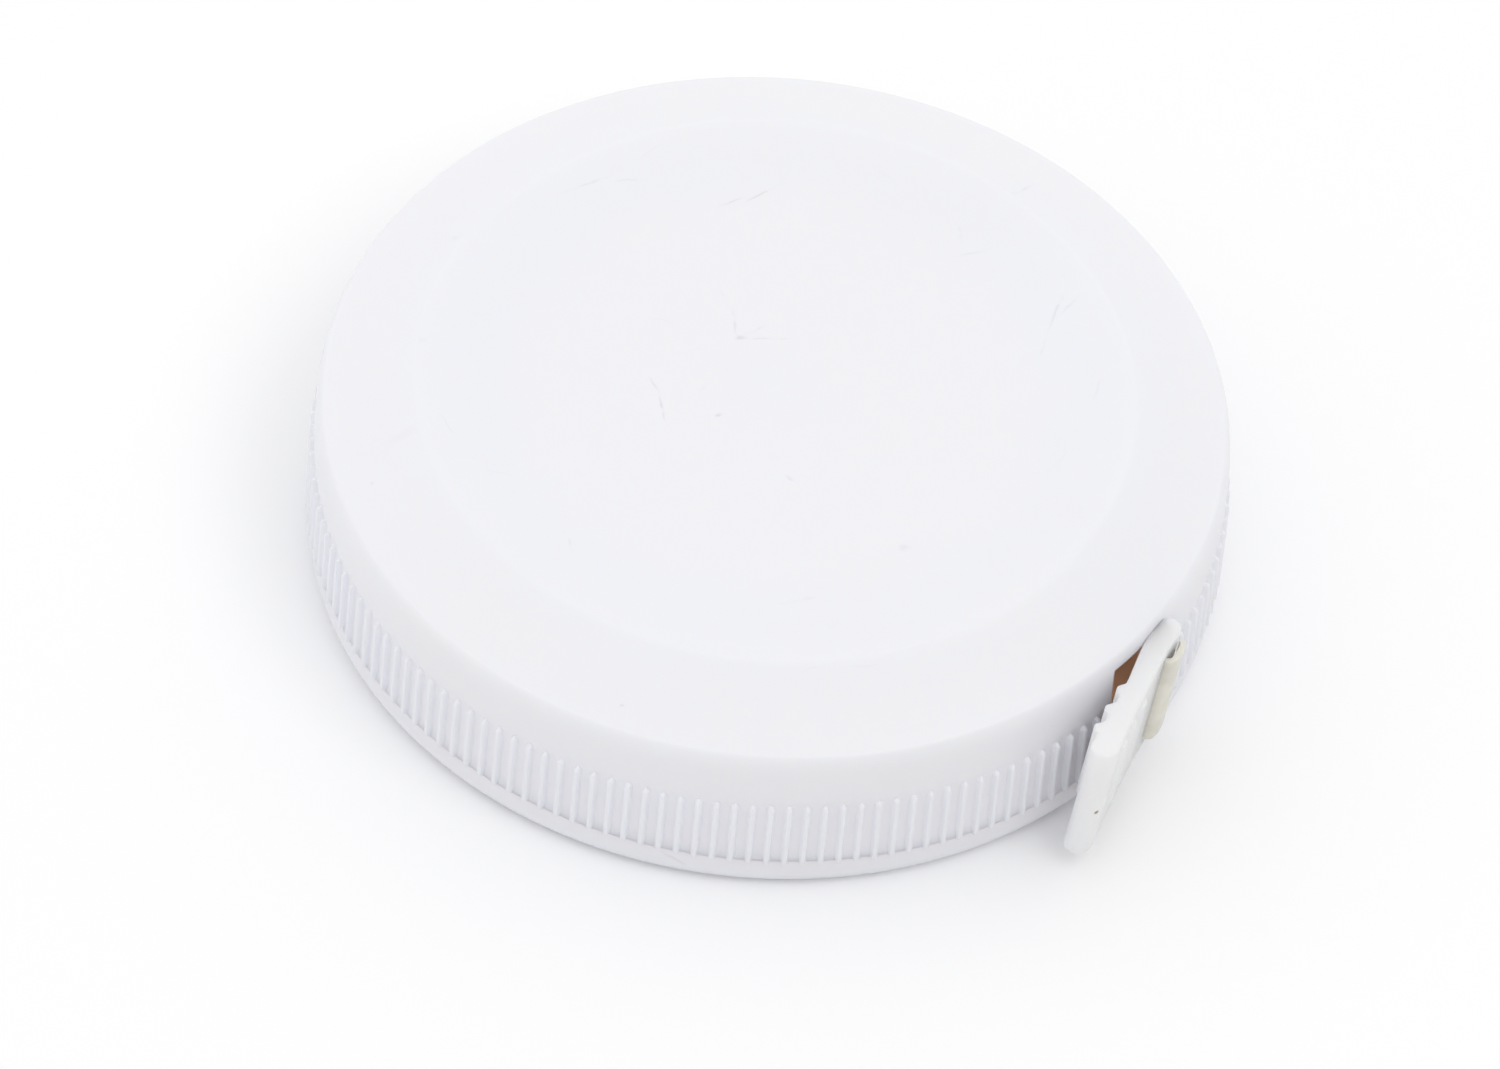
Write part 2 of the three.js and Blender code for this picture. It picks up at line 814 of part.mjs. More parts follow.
function unit(a, b) {
  const size = Math.hypot(b.x - a.x, b.y - a.y);
  return { x: (b.x - a.x) / size, y: (b.y - a.y) / size };
}

// Solids for cutting and joining
function solid(shape) {
  const closed = closedGeometry(shape);
  return new wasm.Manifold(new wasm.Mesh({
    numProp: 3,
    vertProperties: new Float32Array(closed.getAttribute('position').array),
    triVerts: new Uint32Array(closed.getIndex().array),
  }));
}

function geometry(body) {
  const mesh = body.getMesh();
  const shape = new THREE.BufferGeometry();
  shape.setAttribute('position', new THREE.BufferAttribute(new Float32Array(mesh.vertProperties), 3));
  shape.setIndex(new THREE.BufferAttribute(new Uint32Array(mesh.triVerts), 1));
  return shape;
}

// Shared corners merged, and the flat triangles at a turned shape's axis left out
function closedGeometry(shape) {
  const bare = shape.clone();
  bare.deleteAttribute('normal');
  bare.deleteAttribute('uv');
  const merged = mergeVertices(bare);
  const index = merged.getIndex().array;
  const kept = [];
  for (let i = 0; i < index.length; i += 3) {
    const [a, b, c] = [index[i], index[i + 1], index[i + 2]];
    if (a !== b && b !== c && c !== a) kept.push(a, b, c);
  }
  merged.setIndex(kept);
  return merged;
}

function add(name, shape, material) {
  const mesh = new THREE.Mesh(closedGeometry(shape), material);
  mesh.geometry.computeVertexNormals();
  mesh.name = name;
  toolRoot.add(mesh);
}

function plastic(color, roughness) {
  return new THREE.MeshStandardMaterial({ color, roughness, metalness: 0 });
}

function metal(color, roughness) {
  return new THREE.MeshStandardMaterial({ color, roughness, metalness: 1 });
}
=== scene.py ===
# A round pocket tape measure for sewing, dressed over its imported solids.
# The scene is in metres. Shapes are laid out in millimetres and scaled when they become meshes.
import math
import bmesh
import bpy
from mathutils import Matrix, Vector


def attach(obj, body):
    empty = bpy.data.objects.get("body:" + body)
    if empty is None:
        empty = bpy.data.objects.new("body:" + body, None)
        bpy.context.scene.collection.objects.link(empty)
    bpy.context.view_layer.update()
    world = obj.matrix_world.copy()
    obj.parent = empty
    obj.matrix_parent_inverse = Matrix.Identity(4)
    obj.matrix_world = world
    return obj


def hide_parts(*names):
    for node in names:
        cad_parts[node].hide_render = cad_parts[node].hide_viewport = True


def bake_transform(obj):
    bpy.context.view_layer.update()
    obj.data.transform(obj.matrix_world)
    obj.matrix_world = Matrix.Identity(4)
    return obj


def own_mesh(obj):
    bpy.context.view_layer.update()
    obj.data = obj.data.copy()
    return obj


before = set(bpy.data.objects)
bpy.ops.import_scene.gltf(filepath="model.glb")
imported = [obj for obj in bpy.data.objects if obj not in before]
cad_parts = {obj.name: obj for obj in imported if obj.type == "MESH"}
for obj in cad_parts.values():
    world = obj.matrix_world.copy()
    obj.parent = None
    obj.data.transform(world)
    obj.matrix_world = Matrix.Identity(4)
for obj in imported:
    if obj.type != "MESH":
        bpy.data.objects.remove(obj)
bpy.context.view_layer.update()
mm = 0.001

# Camera, solved from the rims and ribs of the case
view = {
    "distance": 1131.361,
    "elevation": 48.892,
    "roll": 5.8017,
    "lens": 480,
    "sensor": 36,
    "shiftX": -0.008079,
    "shiftY": 0.0028527,
}

# The way out of the tape and the tab's place, as in the solids
way = {
    "pullAngle": -92.3,
    "leadDistance": 22.76,
    "tabAngle": -108,
    "tipAcross": 23.83,
    "tipAlong": 11.249,
    "lean": 6,
    "travel": 1474,
}


def polar(radius, angle, z=0):
    return Vector((radius * math.cos(math.radians(angle)), radius * math.sin(math.radians(angle)), z))


pull = polar(1, way["pullAngle"])
pullRight = Vector((-pull.y, pull.x, 0))
tabAlong = polar(1, way["tabAngle"])
tabRight = Vector((-tabAlong.y, tabAlong.x, 0))


def inPull(across, along, z=0):  # a place across and along the tape's direction
    return pullRight * across + pull * along + Vector((0, 0, z))


def setUpCamera():
    elevation = math.radians(view["elevation"])
    roll = math.radians(view["roll"])
    place = Vector((0, -math.cos(elevation), math.sin(elevation))) * view["distance"] * mm
    forward = -place.normalized()
    right = Vector((1, 0, 0))
    up = right.cross(forward)
    axisX = right * math.cos(roll) + up * math.sin(roll)
    axisY = up * math.cos(roll) - right * math.sin(roll)
    turn = Matrix((axisX, axisY, -forward)).transposed().to_4x4()
    data = bpy.data.cameras.new("camera")
    data.sensor_fit = "HORIZONTAL"
    data.sensor_width = view["sensor"]
    data.lens = view["lens"]
    data.shift_x = view["shiftX"]
    data.shift_y = view["shiftY"]
    camera = bpy.data.objects.new("camera", data)
    camera.matrix_world = Matrix.Translation(place) @ turn
    bpy.context.scene.collection.objects.link(camera)
    bpy.context.scene.camera = camera


setUpCamera()
bpy.context.scene.view_settings.view_transform = "Standard"
print("camera ready")


# Mesh helpers
def link(name, mesh):
    item = bpy.data.objects.new(name, mesh)
    bpy.context.scene.collection.objects.link(item)
    return item


def meshFrom(name, build, scale=mm):
    bm = bmesh.new()
    build(bm)
    bmesh.ops.remove_doubles(bm, verts=bm.verts, dist=1e-5)
    bmesh.ops.recalc_face_normals(bm, faces=bm.faces)
    bmesh.ops.scale(bm, vec=(scale, scale, scale), verts=bm.verts)
    mesh = bpy.data.meshes.new(name)
    bm.to_mesh(mesh)
    bm.free()
    return link(name, mesh)


def arc(r, z, radius, start, end, steps, up=None):  # with up, an oval that is taller or flatter
    points = []
    for i in range(steps + 1):
        angle = math.radians(start + (end - start) * i / steps)
        points.append((r + radius * math.cos(angle), z + (up or radius) * math.sin(angle)))
    return points


def curveThrough(points, steps):  # a smooth curve through the points of a plan
    made = []
    for i in range(len(points) - 1):
        a, b, c, d = (points[min(max(i + k, 0), len(points) - 1)] for k in (-1, 0, 1, 2))
        for j in range(steps):
            t = j / steps
            made.append(tuple(
                0.5 * (2 * b[k] + (c[k] - a[k]) * t + (2 * a[k] - 5 * b[k] + 4 * c[k] - d[k]) * t ** 2
                       + (3 * b[k] - a[k] - 3 * c[k] + d[k]) * t ** 3) for k in (0, 1)))
    return made + [points[-1]]


def turned(bm, profile, steps):  # a closed profile of (radius, height) round the Z axis
    rings = []
    for r, z in profile:
        if r < 1e-6:
            rings.append([bm.verts.new((0, 0, z))])
        else:
            rings.append([bm.verts.new(polar(r, 360 * k / steps, z)) for k in range(steps)])
    for i, low in enumerate(rings):
        high = rings[(i + 1) % len(rings)]
        if len(low) == 1 and len(high) == 1:
            continue
        for k in range(steps):
            n = (k + 1) % steps
            corners = [low[k % len(low)], low[n % len(low)], high[n % len(high)], high[k % len(high)]]
            bm.faces.new(list(dict.fromkeys(corners)))


def skin(bm, rings):  # faces from each ring of corners to the next, and over both ends
    bm.faces.new(rings[0])
    bm.faces.new(rings[-1])
    for low, high in zip(rings, rings[1:]):
        for k in range(len(low)):
            n = (k + 1) % len(low)
            bm.faces.new((low[k], low[n], high[n], high[k]))


def prism(bm, outline, bottom, top, upper=None):  # a plan outline between two heights
    ends = ((outline, bottom), (upper or outline, top))
    skin(bm, [[bm.verts.new((x, y, z)) for x, y in plan] for plan, z in ends])


def applied(item):  # the object's modifiers become its mesh
    bpy.context.view_layer.update()
    graph = bpy.context.evaluated_depsgraph_get()
    mesh = bpy.data.meshes.new_from_object(item.evaluated_get(graph))
    item.modifiers.clear()
    item.data = mesh
    return item


def combine(item, other, operation):
    modifier = item.modifiers.new("combine", "BOOLEAN")
    modifier.operation = operation
    modifier.solver = "MANIFOLD"
    modifier.object = other
    applied(item)
    bpy.data.objects.remove(other, do_unlink=True)


def smooth(item, angle):
    mesh = item.data
    mesh.polygons.foreach_set("use_smooth", [True] * len(mesh.polygons))
    mesh.set_sharp_from_angle(angle=math.radians(angle))
    return item


def ride(item, body, slot, material, *nodes):
    item.data.materials.clear()
    item.data.materials.append(material)
    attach(item, body)
    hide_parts(*nodes)


# Shader helpers: a value is a number, a colour or another node's output
def node(tree, kind, values=None, **settings):
    made = tree.nodes.new(kind)
    for key, value in settings.items():
        setattr(made, key, value)
    for key, value in (values or {}).items():
        if isinstance(value, bpy.types.NodeSocket):
            tree.links.new(value, made.inputs[key])
        else:
            made.inputs[key].default_value = value
    return made


def maths(tree, operation, *values, clamp=False):
    made = node(tree, "ShaderNodeMath", dict(enumerate(values)), operation=operation, use_clamp=clamp)
    return made.outputs[0]


def vectors(tree, operation, *values):
    made = node(tree, "ShaderNodeVectorMath", dict(enumerate(values)), operation=operation)
    return made.outputs["Value" if operation in ("LENGTH", "DOT_PRODUCT") else "Vector"]


def mixed(tree, share, first, second):
    return node(tree, "ShaderNodeMix", {0: share, 6: first, 7: second}, data_type="RGBA").outputs[2]


def spread(tree, value, low, high, outLow=0.0, outHigh=1.0, kind="SMOOTHSTEP"):
    return node(tree, "ShaderNodeMapRange", {
        "Value": value, "From Min": low, "From Max": high, "To Min": outLow, "To Max": outHigh,
    }, interpolation_type=kind).outputs["Result"]


def noise(tree, at, scale, detail):
    return node(tree, "ShaderNodeTexNoise", {"Vector": at, "Scale": scale, "Detail": detail})


midGrey = (0.5, 0.5, 0.5)


def drift(tree, cloud, reach):  # a small shift by a noise's colour
    shift = vectors(tree, "SUBTRACT", cloud.outputs["Color"], midGrey)
    return node(tree, "ShaderNodeVectorMath", {0: shift, "Scale": reach}, operation="SCALE").outputs["Vector"]


def placed(tree, group, values):
    return node(tree, "ShaderNodeGroup", values, node_tree=group)


def newGroup(name, inputs, *outputs):  # an input without a value is a vector, and the rest are numbers
    group = bpy.data.node_groups.new(name, "ShaderNodeTree")
    for label, value in inputs.items():
        kind = "NodeSocketVector" if value is None else "NodeSocketFloat"
        socket = group.interface.new_socket(label, in_out="INPUT", socket_type=kind)
        if value is not None:
            socket.default_value = value
    for label in outputs:
        group.interface.new_socket(label, in_out="OUTPUT", socket_type="NodeSocketFloat")
    source, result = group.nodes.new("NodeGroupInput"), group.nodes.new("NodeGroupOutput")
    return group, source.outputs, result.inputs


def newMaterial(name, sockets):
    material = bpy.data.materials.new(name)
    material.use_nodes = True
    tree = material.node_tree
    shader = tree.nodes["Principled BSDF"]
    for label, value in sockets.items():
        shader.inputs[label].default_value = value
    return material, tree, shader, node(tree, "ShaderNodeTexCoord").outputs["Object"]


def finish(tree, shader, colour, roughness, height, strength, distance):
    bump = node(tree, "ShaderNodeBump", {"Height": height, "Strength": strength, "Distance": distance * mm})
    for label, value in (("Base Color", colour), ("Roughness", roughness), ("Normal", bump.outputs["Normal"])):
        tree.links.new(value, shader.inputs[label])


# Moulded surface: a fine grain and a slow waviness, with the gloss uneven in patches
def buildMouldGrain():
    group, source, result = newGroup("mouldGrain", {
        "Vector": None, "Grain Scale": 6000.0, "Wave Scale": 160.0, "Wave Share": 0.5, "Patch Scale": 90.0,
        "Patch From": 0.35, "Patch To": 0.65}, "Height", "Patches")
    fine = noise(group, source["Vector"], source["Grain Scale"], 2.0)
    slow = noise(group, source["Vector"], source["Wave Scale"], 1.0)
    patch = noise(group, source["Vector"], source["Patch Scale"], 4.0)
    wave = maths(group, "MULTIPLY", slow.outputs["Fac"], source["Wave Share"])
    group.links.new(maths(group, "ADD", fine.outputs["Fac"], wave), result["Height"])
    group.links.new(spread(group, patch.outputs["Fac"], source["Patch From"], source["Patch To"]),
                    result["Patches"])
    return group


# Handling marks: short hairlines in random directions, one to a cell and few cells chosen
def buildHairlines():
    group, source, result = newGroup("hairlines", {
        "Vector": None, "Scale": 240.0, "Share": 0.15, "Width": 0.00004, "Reach": 0.0012,
        "Bend Scale": 400.0, "Bend": 0.0012}, "Mask")
    bend = noise(group, source["Vector"], source["Bend Scale"], 1.0)
    wavy = vectors(group, "ADD", source["Vector"], drift(group, bend, source["Bend"]))
    cells = node(group, "ShaderNodeTexVoronoi", {"Vector": wavy, "Scale": source["Scale"]}).outputs
    offset = vectors(group, "SUBTRACT", wavy, cells["Position"])
    facing = vectors(group, "NORMALIZE", vectors(group, "SUBTRACT", cells["Color"], midGrey))
    near = maths(group, "ABSOLUTE", vectors(group, "DOT_PRODUCT", offset, facing))
    line = spread(group, near, 0.0, source["Width"], 1.0, 0.0)
    ends = spread(group, vectors(group, "LENGTH", offset), 0.0, source["Reach"], 1.0, 0.0)
    pick = node(group, "ShaderNodeSeparateColor", {"Color": cells["Color"]})
    chosen = maths(group, "LESS_THAN", pick.outputs[2], source["Share"])
    group.links.new(maths(group, "MULTIPLY", maths(group, "MULTIPLY", line, ends), chosen), result["Mask"])
    return group


# One scratch at a known place: how far off its long thin oval a point lies, and the nearest so far
def buildScratch():
    group, source, result = newGroup("scratch", {
        "Vector": None, "Centre": None, "Angle": 0.0, "Reach": 0.001, "Width": 0.0001,
        "Before": 1.0}, "Nearest")
    turn = node(group, "ShaderNodeCombineXYZ", {"Z": source["Angle"]})
    size = node(group, "ShaderNodeCombineXYZ", {"X": source["Reach"], "Y": source["Width"], "Z": 1.0})
    local = node(group, "ShaderNodeMapping", {
        "Vector": source["Vector"], "Location": source["Centre"], "Rotation": turn.outputs[0],
        "Scale": size.outputs[0]}, vector_type="TEXTURE")
    off = vectors(group, "LENGTH", local.outputs[0])
    group.links.new(maths(group, "MINIMUM", off, source["Before"]), result["Nearest"])
    return group


# Dust and moulding specks: small dots, few and uneven in size
def buildSpecks():
    group, source, result = newGroup("specks", {
        "Vector": None, "Scale": 350.0, "Size": 0.09, "Least": 0.35, "Core": 0.5, "Share": 0.12}, "Mask")
    cells = node(group, "ShaderNodeTexVoronoi", {"Vector": source["Vector"], "Scale": source["Scale"]}).outputs
    pick = node(group, "ShaderNodeSeparateColor", {"Color": cells["Color"]})
    chosen = maths(group, "LESS_THAN", pick.outputs[0], source["Share"])
    size = maths(group, "MULTIPLY", source["Size"], maths(group, "ADD", pick.outputs[1], source["Least"]))
    dot = spread(group, cells["Distance"], maths(group, "MULTIPLY", size, source["Core"]), size, 1.0, 0.0)
    group.links.new(maths(group, "MULTIPLY", dot, chosen), result["Mask"])
    return group


mouldGrain = buildMouldGrain()
hairlines = buildHairlines()
scratch = buildScratch()
specks = buildSpecks()

# Marks on the top by their depth: place, direction, half length, half width
topMarks = {
    0.42: [
        ((-2.38, 3.47), 12, 0.6, 0.22), ((-6.3, -2.35), 103, 1.3, 0.12), ((-6.78, -23.13), 0, 0.2, 0.13),
        ((-21.98, -8.89), 0, 0.17, 0.13), ((-3.16, -2.44), 20, 0.35, 0.2), ((-2.1, 14.4), 42, 1.3, 0.1),
    ],
    0.27: [
        ((-2.75, 4.6), 100, 1.5, 0.11), ((-0.9, 3.62), 6, 1.8, 0.1), ((-6.85, -0.7), 120, 0.9, 0.11),
        ((-3.6, 13.7), 35, 1.3, 0.1), ((-12.0, 13.8), 31, 2.2, 0.12), ((15.2, 7.9), 77, 2.3, 0.12),
        ((1.21, -6.56), 150, 0.5, 0.13), ((12.65, 17.2), 53, 1.3, 0.11), ((-10.6, -13.15), 100, 0.7, 0.13),
    ],
    0.17: [
        ((-3.45, 6.3), 112, 1.0, 0.1), ((-1.6, 4.15), 38, 1.2, 0.1), ((-4.2, -0.6), 60, 0.9, 0.12),
        ((-9.6, 14.5), 8, 1.5, 0.1), ((14.66, 5.1), 82, 1.3, 0.1), ((15.9, 8.4), 60, 1.1, 0.13),
        ((9.39, 12.91), 100, 1.0, 0.18), ((10.2, 11.6), 20, 1.2, 0.12), ((7.97, -10.87), 0, 0.5, 0.42),
        ((2.44, -15.47), 20, 1.5, 0.16), ((-18.87, 9.28), 0, 0.5, 0.5), ((-20.16, 0.75), 0, 0.5, 0.45),
    ],
    0.05: [((-20.6, -5.9), 30, 1.5, 0.7)],
}
# Marks on the wall by their depth: place round it and above the table, direction, half length, half width
wallMarks = {0.3: [((-96.8, 1.6), -28, 1.4, 0.15), ((-76.5, 2.05), 0, 0.25, 0.15)]}
shellLook = {
    "colour": (0.903, 0.915, 0.99, 1),
    "warmer": (0.903, 0.912, 0.972, 1),
    # painted glow: the warm emission colour of the inner faces, standing in for light through the thin wall
    "paintedGlow": (0.32, 0.165, 0.105, 1),
    "scuffed": (0.60, 0.60, 0.62, 1),
    "grazed": (0.78, 0.62, 0.64, 1),
    "speck": (0.45, 0.36, 0.25, 1),
    "specks": {"Scale": 260.0, "Size": 0.045, "Share": 0.02},
    "wobble": (1100.0, 2.0),
    "jitter": 0.35,
    "broken": (0.4, 0.56, 0.15, 1.0),
    "hair": 0.14,
    "cloud": (45.0, 3.0),
    "clouded": (0.4, 0.66),
    "roughness": 0.42,
    "glossier": 0.04,
    "rougher": 0.05,
    "scuffRoughness": 0.2,
    "bump": 0.05,
    "bumpDistance": 0.05,
    "wall": 25.7,
    "top": 12.9,
    "wallEnd": 10.4,
    "topStart": 10.6,
    "innerWall": 24.45,
    "innerFoot": 2.4,
    "innerTop": 12.5,
    "innerSlopeStart": 20.25,
    "innerSlope": 0.4,
}


def layMarks(tree, at, marks, height):
    found = None
    for depth, group in marks.items():
        nearest = 1.0
        for place, angle, reach, width in group:
            nearest = placed(tree, scratch, {
                "Vector": at, "Centre": (place[0] * mm, place[1] * mm, height * mm),
                "Angle": math.radians(angle), "Reach": reach * mm, "Width": width * mm,
                "Before": nearest}).outputs["Nearest"]
        mark = spread(tree, nearest, 0.0, 1.0, depth, 0.0)
        found = mark if found is None else maths(tree, "MAXIMUM", found, mark)
    return found


def shellMaterial():
    look = shellLook
    material, tree, shader, at = newMaterial("shellPlastic", {
        "IOR": 1.49, "Specular IOR Level": 0.45, "Subsurface Weight": 0.5,
        "Subsurface Radius": (1.0, 0.93, 0.86), "Subsurface Scale": 0.0011, "Emission Strength": 1.0})
    x, y, z = node(tree, "ShaderNodeSeparateXYZ", {"Vector": at}).outputs
    grain = placed(tree, mouldGrain, {"Vector": at}).outputs
    hair = placed(tree, hairlines, {"Vector": at}).outputs["Mask"]
    dots = placed(tree, specks, {"Vector": at, **look["specks"]}).outputs["Mask"]
    wobble = noise(tree, at, *look["wobble"])
    jitter = drift(tree, wobble, look["jitter"] * mm)
    rise = look["wallEnd"] * mm, look["topStart"] * mm
    onTop = layMarks(tree, vectors(tree, "ADD", at, jitter), topMarks, look["top"])
    onTop = maths(tree, "MULTIPLY", onTop, spread(tree, z, *rise))
    around = maths(tree, "MULTIPLY", maths(tree, "ARCTAN2", y, x), look["wall"] * mm)
    flatWall = node(tree, "ShaderNodeCombineXYZ", {"X": around, "Y": z}).outputs[0]
    arcPlaces = {depth: [((math.radians(place[0]) * look["wall"], place[1]), *rest) for place, *rest in group]
                 for depth, group in wallMarks.items()}
    onWall = layMarks(tree, vectors(tree, "ADD", flatWall, jitter), arcPlaces, 0)
    onWall = maths(tree, "MULTIPLY", onWall, spread(tree, z, *rise, 1.0, 0.0))
    broken = spread(tree, wobble.outputs["Fac"], *look["broken"])
    marks = maths(tree, "MAXIMUM", maths(tree, "MULTIPLY", onTop, broken),
                  maths(tree, "MULTIPLY", hair, look["hair"]))
    cloud = noise(tree, at, *look["cloud"]).outputs["Fac"]
    colour = mixed(tree, spread(tree, cloud, *look["clouded"]), look["colour"], look["warmer"])
    colour = mixed(tree, marks, colour, look["scuffed"])
    colour = mixed(tree, onWall, colour, look["grazed"])
    colour = mixed(tree, dots, colour, look["speck"])
    gloss = spread(tree, grain["Patches"], 0.0, 1.0, look["roughness"] - look["glossier"],
                   look["roughness"] + look["rougher"])
    gloss = maths(tree, "ADD", gloss, maths(tree, "MULTIPLY", marks, look["scuffRoughness"]))
    finish(tree, shader, colour, gloss, grain["Height"], look["bump"], look["bumpDistance"])

    # Painted glow: an emission on the inner faces only stands in for the light that comes through the thin wall
    reach = vectors(tree, "LENGTH", node(tree, "ShaderNodeCombineXYZ", {"X": x, "Y": y}).outputs[0])
    within = maths(tree, "LESS_THAN", reach, look["innerWall"] * mm)
    past = maths(tree, "MAXIMUM", maths(tree, "SUBTRACT", reach, look["innerSlopeStart"] * mm), 0.0)
    level = maths(tree, "ADD", z, maths(tree, "MULTIPLY", past, look["innerSlope"]))
    under = maths(tree, "MULTIPLY", maths(tree, "LESS_THAN", level, look["innerTop"] * mm),
                  maths(tree, "GREATER_THAN", z, look["innerFoot"] * mm))
    inside = mixed(tree, maths(tree, "MULTIPLY", within, under), (0, 0, 0, 1), look["paintedGlow"])
    tree.links.new(inside, shader.inputs["Emission Color"])
    material.cycles.emission_sampling = "NONE"
    return material


# Plain moulded plastic, with at most one speck at a known place
plasticLook = {
    "hairlines": {"Scale": 500.0, "Share": 0.12, "Reach": 0.0007},
    "darker": 0.9,
    "patches": 0.25,
    "glossier": 0.05,
    "rougher": 0.06,
    "bump": 0.06,
    "bumpDistance": 0.05,
    "speck": (0.2, 0.11, 0.05, 1),
    "speckCore": 0.1,
    "speckEdge": 0.22,
    "speckDepth": 0.85,
}


def darkened(colour, share):
    return tuple(c * share for c in colour[:3]) + (1,)


def plainPlastic(name, colour, roughness, grainScale, extra=None, speck=None):
    look = plasticLook
    material, tree, shader, at = newMaterial(name, {"IOR": 1.49, **(extra or {})})
    grain = placed(tree, mouldGrain, {"Vector": at, "Grain Scale": grainScale}).outputs
    hair = placed(tree, hairlines, {"Vector": at, **look["hairlines"]}).outputs["Mask"]
    worn = maths(tree, "MAXIMUM", hair, maths(tree, "MULTIPLY", grain["Patches"], look["patches"]))
    surface = mixed(tree, worn, colour, darkened(colour, look["darker"]))
    if speck:
        off = vectors(tree, "LENGTH", vectors(tree, "SUBTRACT", at, Vector(speck) * mm))
        dot = spread(tree, off, look["speckCore"] * mm, look["speckEdge"] * mm, look["speckDepth"], 0.0)
        surface = mixed(tree, dot, surface, look["speck"])
    gloss = spread(tree, grain["Patches"], 0.0, 1.0, roughness - look["glossier"], roughness + look["rougher"])
    finish(tree, shader, surface, gloss, grain["Height"], look["bump"], look["bumpDistance"])
    return material


steelLook = {
    "drawn": (40, 40, 9000),
    "cloud": (500.0, 3.0),
    "clouded": (0.4, 0.7),
    "darker": 0.72,
    "lined": (0.3, 0.7),
    "glossier": 0.08,
    "rougher": 0.1,
    "bump": 0.1,
    "bumpDistance": 0.02,
}


def drawnSteel(name, colour, roughness):
    look = steelLook
    material, tree, shader, at = newMaterial(name, {"Metallic": 1.0})
    mapped = node(tree, "ShaderNodeMapping", {"Vector": at, "Scale": look["drawn"]}).outputs[0]
    lines = noise(tree, mapped, 1.0, 3.0).outputs["Fac"]
    cloud = noise(tree, at, *look["cloud"]).outputs["Fac"]
    surface = mixed(tree, spread(tree, cloud, *look["clouded"]), colour, darkened(colour, look["darker"]))
    gloss = spread(tree, lines, *look["lined"], roughness - look["glossier"], roughness + look["rougher"])
    finish(tree, shader, surface, gloss, lines, look["bump"], look["bumpDistance"])
    return material


rubberLook = {
    "colour": (0.012, 0.012, 0.013, 1),
    "dusty": (0.035, 0.034, 0.033, 1),
    "grit": (5000.0, 4.0),
    "worn": (400.0, 3.0),
    "dusted": (0.45, 0.7),
    "roughness": (0.3, 0.7, 0.72, 0.9),
    "bump": 0.4,
    "bumpDistance": 0.04,
}


def rubberMaterial():
    look = rubberLook
    material, tree, shader, at = newMaterial("brakeRubber", {"IOR": 1.5})
    grit = noise(tree, at, *look["grit"]).outputs["Fac"]
    worn = noise(tree, at, *look["worn"]).outputs["Fac"]
    surface = mixed(tree, spread(tree, worn, *look["dusted"]), look["colour"], look["dusty"])
    finish(tree, shader, surface, spread(tree, worn, *look["roughness"]), grit, look["bump"],
           look["bumpDistance"])
    return material


shellPlastic = shellMaterial()
tabPlastic = plainPlastic("tabPlastic", (0.85, 0.85, 0.855, 1), 0.36, 4000.0, {
    "Subsurface Weight": 1.0, "Subsurface Radius": (1.0, 0.94, 0.88), "Subsurface Scale": 0.003},
    speck=(20.09, -22.3, 5.3))
innerPlastic = plainPlastic("innerPlastic", (0.80, 0.77, 0.68, 1), 0.5, 5000.0)
washerSteel = drawnSteel("washerSteel", (0.62, 0.63, 0.65, 1), 0.32)
springSteel = drawnSteel("springSteel", (0.2, 0.22, 0.26, 1), 0.34)
brakeRubber = rubberMaterial()
print("materials ready")

# The tape: coated cloth, with a fine weave under the coating and divisions printed along both edges
tapeLook = {
    "colour": (0.865, 0.835, 0.745, 1),
    "darker": 0.9,
    "print": (0.06, 0.05, 0.045, 1),
    "ticks": {1: 0.0009, 5: 0.0016, 10: 0.0024},
    "width": 7.0,
    "thickness": 0.32,
    "bottom": 2.3,
    "zero": 8.0,
    "cloud": (600.0, 4.0),
    "clouded": (0.35, 0.7),
    "threads": {"Scale": 900.0, "Distortion": 1.0},
    "roughness": (0.3, 0.7, 0.5, 0.62),
    "bump": 0.2,
    "bumpDistance": 0.02,
    "sharp": 50,
}


# Printed divisions by the place on the tape: ticks at both edges, longer at every fifth and tenth
def buildDivisions():
    group, source, result = newGroup("divisions", {
        "Place": None, "Width": 0.007, "Start": 0.006, "Step": 0.001, "Stroke": 0.00009}, "Mask")
    parts = node(group, "ShaderNodeSeparateXYZ", {"Vector": source["Place"]}).outputs
    along = maths(group, "SUBTRACT", parts["X"], source["Start"])
    fromEdge = maths(group, "MINIMUM", parts["Y"], maths(group, "SUBTRACT", source["Width"], parts["Y"]))
    total = 0.0
    for every, reach in tapeLook["ticks"].items():
        near = maths(group, "PINGPONG", along, maths(group, "MULTIPLY", source["Step"], every / 2))
        tick = maths(group, "MULTIPLY", maths(group, "LESS_THAN", near, source["Stroke"]),
                     maths(group, "LESS_THAN", fromEdge, reach))
        total = maths(group, "MAXIMUM", total, tick)
    printed = maths(group, "GREATER_THAN", along, 0.0)
    group.links.new(maths(group, "MULTIPLY", total, printed), result["Mask"])
    return group


divisions = buildDivisions()


